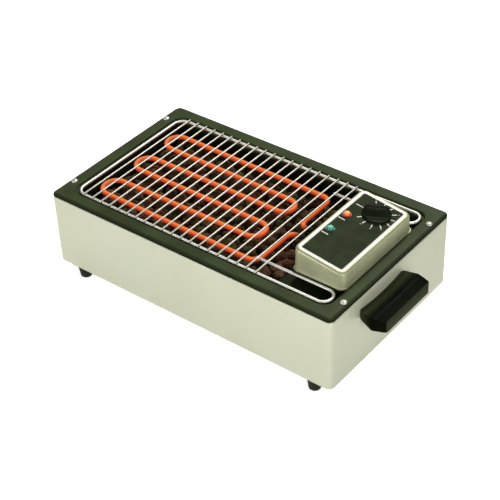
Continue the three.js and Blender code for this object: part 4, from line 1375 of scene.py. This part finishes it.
class GRILL_OT_control_box(bpy.types.Operator):
    """Makes the control box's cover, rim and fascia plate, and dresses what is inside"""

    bl_idname = "grill.control_box"
    bl_label = "Control box"

    def execute(self, context):
        s = context.scene.grill_box
        dial = context.scene.grill_dial
        centre = on_plate(-dial.along, -dial.across)
        self.cover(s, centre)
        rings = []
        for inset, up in PLATE_EDGE:
            half_x, half_y = s.plate_x / 2 - inset * MM, s.plate_y / 2 - inset * MM
            loop = centred_loop(half_x, half_y, (PLATE_CORNER - inset) * MM, up * MM, 8)
            rings.append([centre @ p for p in loop])
        mesh = lofted("fascia", rings, 30.0, cap_first=True, cap_last=True)
        add_piece("fascia", mesh, [plate_print()], "control_head", ["fascia_plate"])
        dress(plain("tray_enamel", (0.018, 0.02, 0.012), 0.35), "control_box_tray")
        nylon = plain("natural_nylon", (0.6, 0.56, 0.45), 0.5)
        dress(nylon, "terminal_block", "pilot_lamp_amber", "pilot_lamp_green")
        dress(plain("steatite", (0.72, 0.68, 0.56), 0.5), "thermostat_body")
        dress(plated_steel(), "thermostat_nut")
        dress(black_moulding("gland_moulding", 0.35), "cable_gland")
        dress(plain("panel_zinc", (0.5, 0.51, 0.47), 0.4, metallic=0.8), "bottom_panel")
        return {"FINISHED"}

    def cover(self, s, centre):
        """The cover, from its foot over the edge and the rim into the plate's recess."""
        middle = (COVER_LOW.x + COVER_HIGH.x) / 2
        base = COVER_LOW.z
        rise_mid = (s.low + s.high) / 2
        slope = (s.high - s.low) / (s.size_x - 2 * s.draft)
        loops = []

        def ring(inset, rise):
            share = rise / rise_mid
            half_x = s.size_x / 2 - s.draft * share - inset
            half_y = s.size_y / 2 - s.draft * share - inset
            loop = centred_loop(half_x, half_y, max(s.corner_radius - inset * 0.6, 2 * MM), 0, 12)
            loops.append([Vector((middle + p.x, p.y, base + rise - slope * p.x * share)) for p in loop])

        for inset, rise in COVER_FOOT:
            ring(inset * MM, rise * MM)
        fillet, foot = 1.0 * MM, 2.25 * MM
        for across, up in arc((-fillet, foot), fillet, 270, 360, 3):
            ring(across, up)
        edge = s.edge_radius
        for k in range(1, 7):
            ring(0, foot + (rise_mid - edge - foot) * k / 6)
        for across, up in arc((edge, rise_mid - edge), edge, 180, 90, 8)[1:]:
            ring(across, up)
        ring(edge + s.rim_inset, rise_mid)
        rim_start = len(loops) - 1
        gap = 0.2 * MM
        half_x, half_y = s.plate_x / 2 + gap, s.plate_y / 2 + gap
        for grow, depth, radius in RECESS:
            grown = grow * MM
            loop = centred_loop(half_x + grown, half_y + grown, radius * MM, -depth * MM, 12)
            loops.append([centre @ p for p in loop])
        bm = bmesh.new()
        loft(bm, loops, cap_last=True)
        # The rim and the recess take the rim finish, whose paler tone is a painted highlight.
        for index, face in enumerate(bm.faces):
            face.material_index = int(index // len(loops[0]) >= rim_start)
        mesh = finish_mesh("box_cover", bm, 45.0)
        materials = [box_metal(), rim_metal()]
        piece = add_piece("box_cover", mesh, materials, "control_head", ["control_box_cover"])
        thickened(piece, s.sheet, 45.0)


INK_UNDER, INK_OVER = -0.02 * MM, 0.05 * MM


class GRILL_OT_scale(bpy.types.Operator):
    """Prints the dial's scale and the marks by the pilot lamps"""

    bl_idname = "grill.scale"
    bl_label = "Printed scale"

    def execute(self, context):
        s = context.scene.grill_dial
        bm = bmesh.new()
        inner, outer, width = s.tick_inner, s.tick_outer, s.tick_width
        self.bar(bm, way(180) * inner, way(180) * (outer + s.off_longer), width - 0.1 * MM)
        marks = [math.degrees(s.first_mark - s.mark_step * k) for k in range(s.marks)]
        edge = context.scene.grill_box.plate_x / 2 - s.along - 0.6 * MM
        for degrees in marks:
            towards = way(degrees).x
            reach = min(outer, edge / towards) if towards > 0 else outer
            self.bar(bm, way(degrees) * inner, way(degrees) * reach, width)
        lamps = context.scene.grill_lamps
        half_bar = Vector((lamps.bar_length / 2, 0))
        for across in (lamps.amber_across, lamps.green_across):
            middle = Vector((-lamps.along - 1 * MM, -across - lamps.bar_gap))
            self.bar(bm, middle - half_bar, middle + half_bar, width)
        for index, degrees in enumerate(marks[:-1]):
            self.figure(bm, str(index + 1), way(degrees) * (outer + s.figure_gap), s.figure_size)
        mesh = finish_mesh("printed_scale", bm, 30.0)
        add_piece("printed_scale", mesh, [white_print()], "control_head")
        return {"FINISHED"}

    def bar(self, bm, start, end, width):
        """Adds one straight mark to the print."""
        along = (end - start).normalized()
        across = Vector((-along.y, along.x)) * width / 2
        outline = [start - across, end - across, end + across, start + across]
        rings = [[on_plate() @ Vector((p.x, p.y, up)) for p in outline] for up in (INK_UNDER, INK_OVER)]
        loft(bm, rings, cap_first=True, cap_last=True)

    def figure(self, bm, text, place, size):
        """Adds one figure of the scale, upright on the plate."""
        curve = bpy.data.curves.new("figure", "FONT")
        curve.body = text
        curve.size = size
        curve.align_x = "CENTER"
        curve.align_y = "CENTER"
        curve.extrude = INK_OVER
        curve.resolution_u = 3
        words = new_object("figure", curve)
        bpy.context.view_layer.update()
        graph = bpy.context.evaluated_depsgraph_get()
        mesh = bpy.data.meshes.new_from_object(words.evaluated_get(graph))
        mesh.transform(on_plate(place.x, place.y) @ Matrix.Rotation(math.pi / 2, 4, "Z"))
        bm.from_mesh(mesh)
        bpy.data.objects.remove(words)
        bpy.data.curves.remove(curve)
        bpy.data.meshes.remove(mesh)


class GRILL_OT_dial(bpy.types.Operator):
    """Makes the round dial with the ridge across it"""

    bl_idname = "grill.dial"
    bl_label = "Dial"

    def execute(self, context):
        s = context.scene.grill_dial
        segments, rows, ribs = 240, 34, 48
        chamfer = 0.6 * MM
        ribbed_rings = (1, 2)
        outline = [(s.radius - chamfer, 0), (s.radius, chamfer), (s.radius, s.skirt - s.rim)]
        outline += arc((s.radius - s.rim, s.skirt - s.rim), s.rim, 0, 90, 6)[1:]
        turns = [math.tau * k / segments for k in range(segments)]
        rings = []
        for index, (radius, height) in enumerate(outline):
            depth = s.rib_depth if index in ribbed_rings else 0.0
            ring = []
            for turn in turns:
                grown = radius - depth * (0.5 + 0.5 * math.cos(turn * ribs))
                ring.append(Vector((grown * math.cos(turn), grown * math.sin(turn), height)))
            rings.append(ring)
        for row in range(1, rows):
            radius = (s.radius - s.rim) * (1 - row / rows)
            places = [(radius * math.cos(turn), radius * math.sin(turn)) for turn in turns]
            rings.append([Vector((p, q, self.top_at(s, p, q))) for p, q in places])
        mesh = lofted("scooped_dial", rings, 48.0, cap_first=True, cap_last=True)
        seat = on_plate(0, 0, s.lift) @ Matrix.Rotation(s.pointer, 4, "Z")
        moulding = black_moulding("dial_moulding", 0.34, lift=1.3, gloss=0.012)
        add_piece("scooped_dial", mesh, [moulding], "dial", ["thermostat_knob"], seat)
        dress(plated_steel(), "knob_spindle")
        return {"FINISHED"}

    def top_at(self, s, p, q):
        """The height of the dial's top, p along the ridge and q across it."""
        reach = s.radius - 1.4 * MM
        arch = max(0.0, 1.0 - (p / reach) ** 2) ** 0.85
        slide = min(1.0, max(0.0, (s.ridge_foot - abs(q)) / (s.ridge_foot - s.ridge_crest))) ** 2.3
        crest = math.sqrt(max(0.0, 1.0 - (q / s.ridge_crest) ** 2)) * s.crest_rise
        hollow = math.sin(math.pi * min(1.0, abs(q) / (s.ridge_foot + 5 * MM))) ** 2
        inside = min(1.0, max(0.0, 1.0 - math.hypot(p, q) / s.radius) * 6.0)
        return s.skirt + (s.ridge_rise * slide + crest) * arch - s.scoop * hollow * inside * (1 - slide)


# The colours of each lens at its edge and in its middle
LENS_TONES = {
    "amber": ((0.62, 0.04, 0.008), (1.0, 0.4, 0.12)),
    "green": ((0.004, 0.12, 0.075), (0.12, 0.45, 0.32)),
}


class GRILL_OT_pilots(bpy.types.Operator):
    """Makes the two pilot lenses in their rims"""

    bl_idname = "grill.pilots"
    bl_label = "Pilot lamps"

    def execute(self, context):
        s = context.scene.grill_lamps
        rim_finish = black_moulding("lens_rim", 0.3)
        foot = 0.35 * MM
        profile = [(0, -s.stem_depth), (s.stem, -s.stem_depth), (s.stem, foot)]
        dome = arc((0, 0), 1.0, 0, 90, 12)[:-1]
        profile += [(s.radius * across, foot + s.dome * up) for across, up in dome]
        profile += [(0, foot + s.dome)]
        inner, outer, under = s.radius + 0.05 * MM, s.radius + 0.75 * MM, 0.02 * MM
        band = [(inner, under), (outer, under), (outer, 0.4 * MM), (outer - 0.2 * MM, 0.7 * MM)]
        band += [(inner + 0.15 * MM, 0.7 * MM), (inner, 0.55 * MM), (inner, under)]
        for name, across in (("amber", s.amber_across), ("green", s.green_across)):
            seat = on_plate(-s.along, -across)
            mesh = turned(f"lens_{name}", profile, 40, 40.0)
            mesh.transform(seat)
            lens = pilot_lens(f"lens_{name}", *LENS_TONES[name], seat @ Vector((0, 0, s.dome * 0.9)))
            add_piece(f"lens_{name}", mesh, [lens], "control_head", [f"pilot_lens_{name}"])
            mesh = turned(f"lens_rim_{name}", band, 40, 40.0)
            mesh.transform(seat)
            add_piece(f"lens_rim_{name}", mesh, [rim_finish], "control_head")
        return {"FINISHED"}


# Each lamp's name, place in m, size in m, power in W and colour
LAMPS = (
    ("key", (-0.44, 1.77, 2.3), 0.45, 60.0, (1.0, 0.99, 0.96)),
    ("front", (-0.8, -2.75, 0.62), 1.1, 42.0, (1.0, 1.0, 0.98)),
    ("side", (1.5, -0.74, 0.72), 1.1, 14.0, (1.0, 1.0, 0.97)),
)
LAMP_AIM = Vector((0, 0, 0.1))
CAMERA_AIM = Vector((MIDDLE_X - 30.6 * MM, 40.9 * MM, CASE_LOW.z))
SKY_TONE = (1.0, 1.0, 0.985, 1.0)
SKY_STRENGTH = 0.12
FLOOR_RADIUS = 14.0


class GRILL_OT_stage(bpy.types.Operator):
    """Sets the camera, the lamps, the backdrop and the floor"""

    bl_idname = "grill.stage"
    bl_label = "Stage"

    def execute(self, context):
        s = context.scene.grill_stage
        scene = context.scene
        scene.view_settings.view_transform = "Standard"
        self.camera(s, scene)
        bm = bmesh.new()
        bmesh.ops.create_circle(bm, cap_ends=True, segments=96, radius=FLOOR_RADIUS)
        mesh = bpy.data.meshes.new("floor")
        bm.to_mesh(mesh)
        bm.free()
        mesh.materials.append(studio_floor())
        floor = new_object("floor", mesh)
        floor.location.z = -0.2 * MM
        for name, at, size, power, tone in LAMPS:
            data = bpy.data.lights.new(name, "AREA")
            data.shape = "DISK"
            data.size = size
            data.energy = power
            data.color = tone
            lamp = new_object(name, data)
            lamp.location = at
            lamp.rotation_euler = (LAMP_AIM - Vector(at)).to_track_quat("-Z", "Y").to_euler()
        world = bpy.data.worlds.new("studio")
        scene.world = world
        world.use_nodes = True
        sky = world.node_tree.nodes["Background"]
        sky.inputs["Color"].default_value = SKY_TONE
        sky.inputs["Strength"].default_value = SKY_STRENGTH
        return {"FINISHED"}

    def camera(self, s, scene):
        """Places the camera where the photograph was taken."""
        level = math.cos(s.elevation)
        back = Vector((math.sin(s.azimuth) * level, -math.cos(s.azimuth) * level, math.sin(s.elevation)))
        right = Vector((math.cos(s.azimuth), math.sin(s.azimuth), 0))
        up = back.cross(right)
        rolled_right = right * math.cos(s.roll) + up * math.sin(s.roll)
        rolled_up = up * math.cos(s.roll) - right * math.sin(s.roll)
        camera = new_object("photo_camera", bpy.data.cameras.new("photo_camera"))
        camera.data.lens = s.lens
        camera.data.sensor_width = 36.0
        camera.data.clip_end = 100.0
        turn = Matrix((rolled_right, rolled_up, back)).transposed().to_4x4()
        camera.matrix_world = Matrix.Translation(back * s.distance + CAMERA_AIM) @ turn
        scene.camera = camera


OPERATORS = (
    GRILL_OT_stage,
    GRILL_OT_casing,
    GRILL_OT_tank,
    GRILL_OT_screws,
    GRILL_OT_feet,
    GRILL_OT_handle,
    GRILL_OT_stones,
    GRILL_OT_element,
    GRILL_OT_grid,
    GRILL_OT_control_box,
    GRILL_OT_scale,
    GRILL_OT_dial,
    GRILL_OT_pilots,
)


class GRILL_PT_panel(bpy.types.Panel):
    """Lists the grill's pieces and their sizes"""

    bl_idname = "GRILL_PT_panel"
    bl_label = "Lava stone grill"
    bl_space_type = "VIEW_3D"
    bl_region_type = "UI"
    bl_category = "Grill"

    def draw(self, context):
        column = self.layout.column(align=True)
        for operator in OPERATORS:
            column.operator(operator.bl_idname)
        for name, group in GROUPS.items():
            box = self.layout.box()
            box.label(text=group.__doc__)
            values = getattr(context.scene, name)
            for key in group.__annotations__:
                box.prop(values, key)


def register():
    for name, group in GROUPS.items():
        bpy.utils.register_class(group)
        setattr(bpy.types.Scene, name, bpy.props.PointerProperty(type=group))
    for operator in OPERATORS:
        bpy.utils.register_class(operator)
    bpy.utils.register_class(GRILL_PT_panel)


def unregister():
    bpy.utils.unregister_class(GRILL_PT_panel)
    for operator in reversed(OPERATORS):
        bpy.utils.unregister_class(operator)
    for name, group in reversed(GROUPS.items()):
        delattr(bpy.types.Scene, name)
        bpy.utils.unregister_class(group)


def main():
    register()
    for operator in OPERATORS:
        family, name = operator.bl_idname.split(".")
        getattr(getattr(bpy.ops, family), name)()


if __name__ == "__main__":
    main()
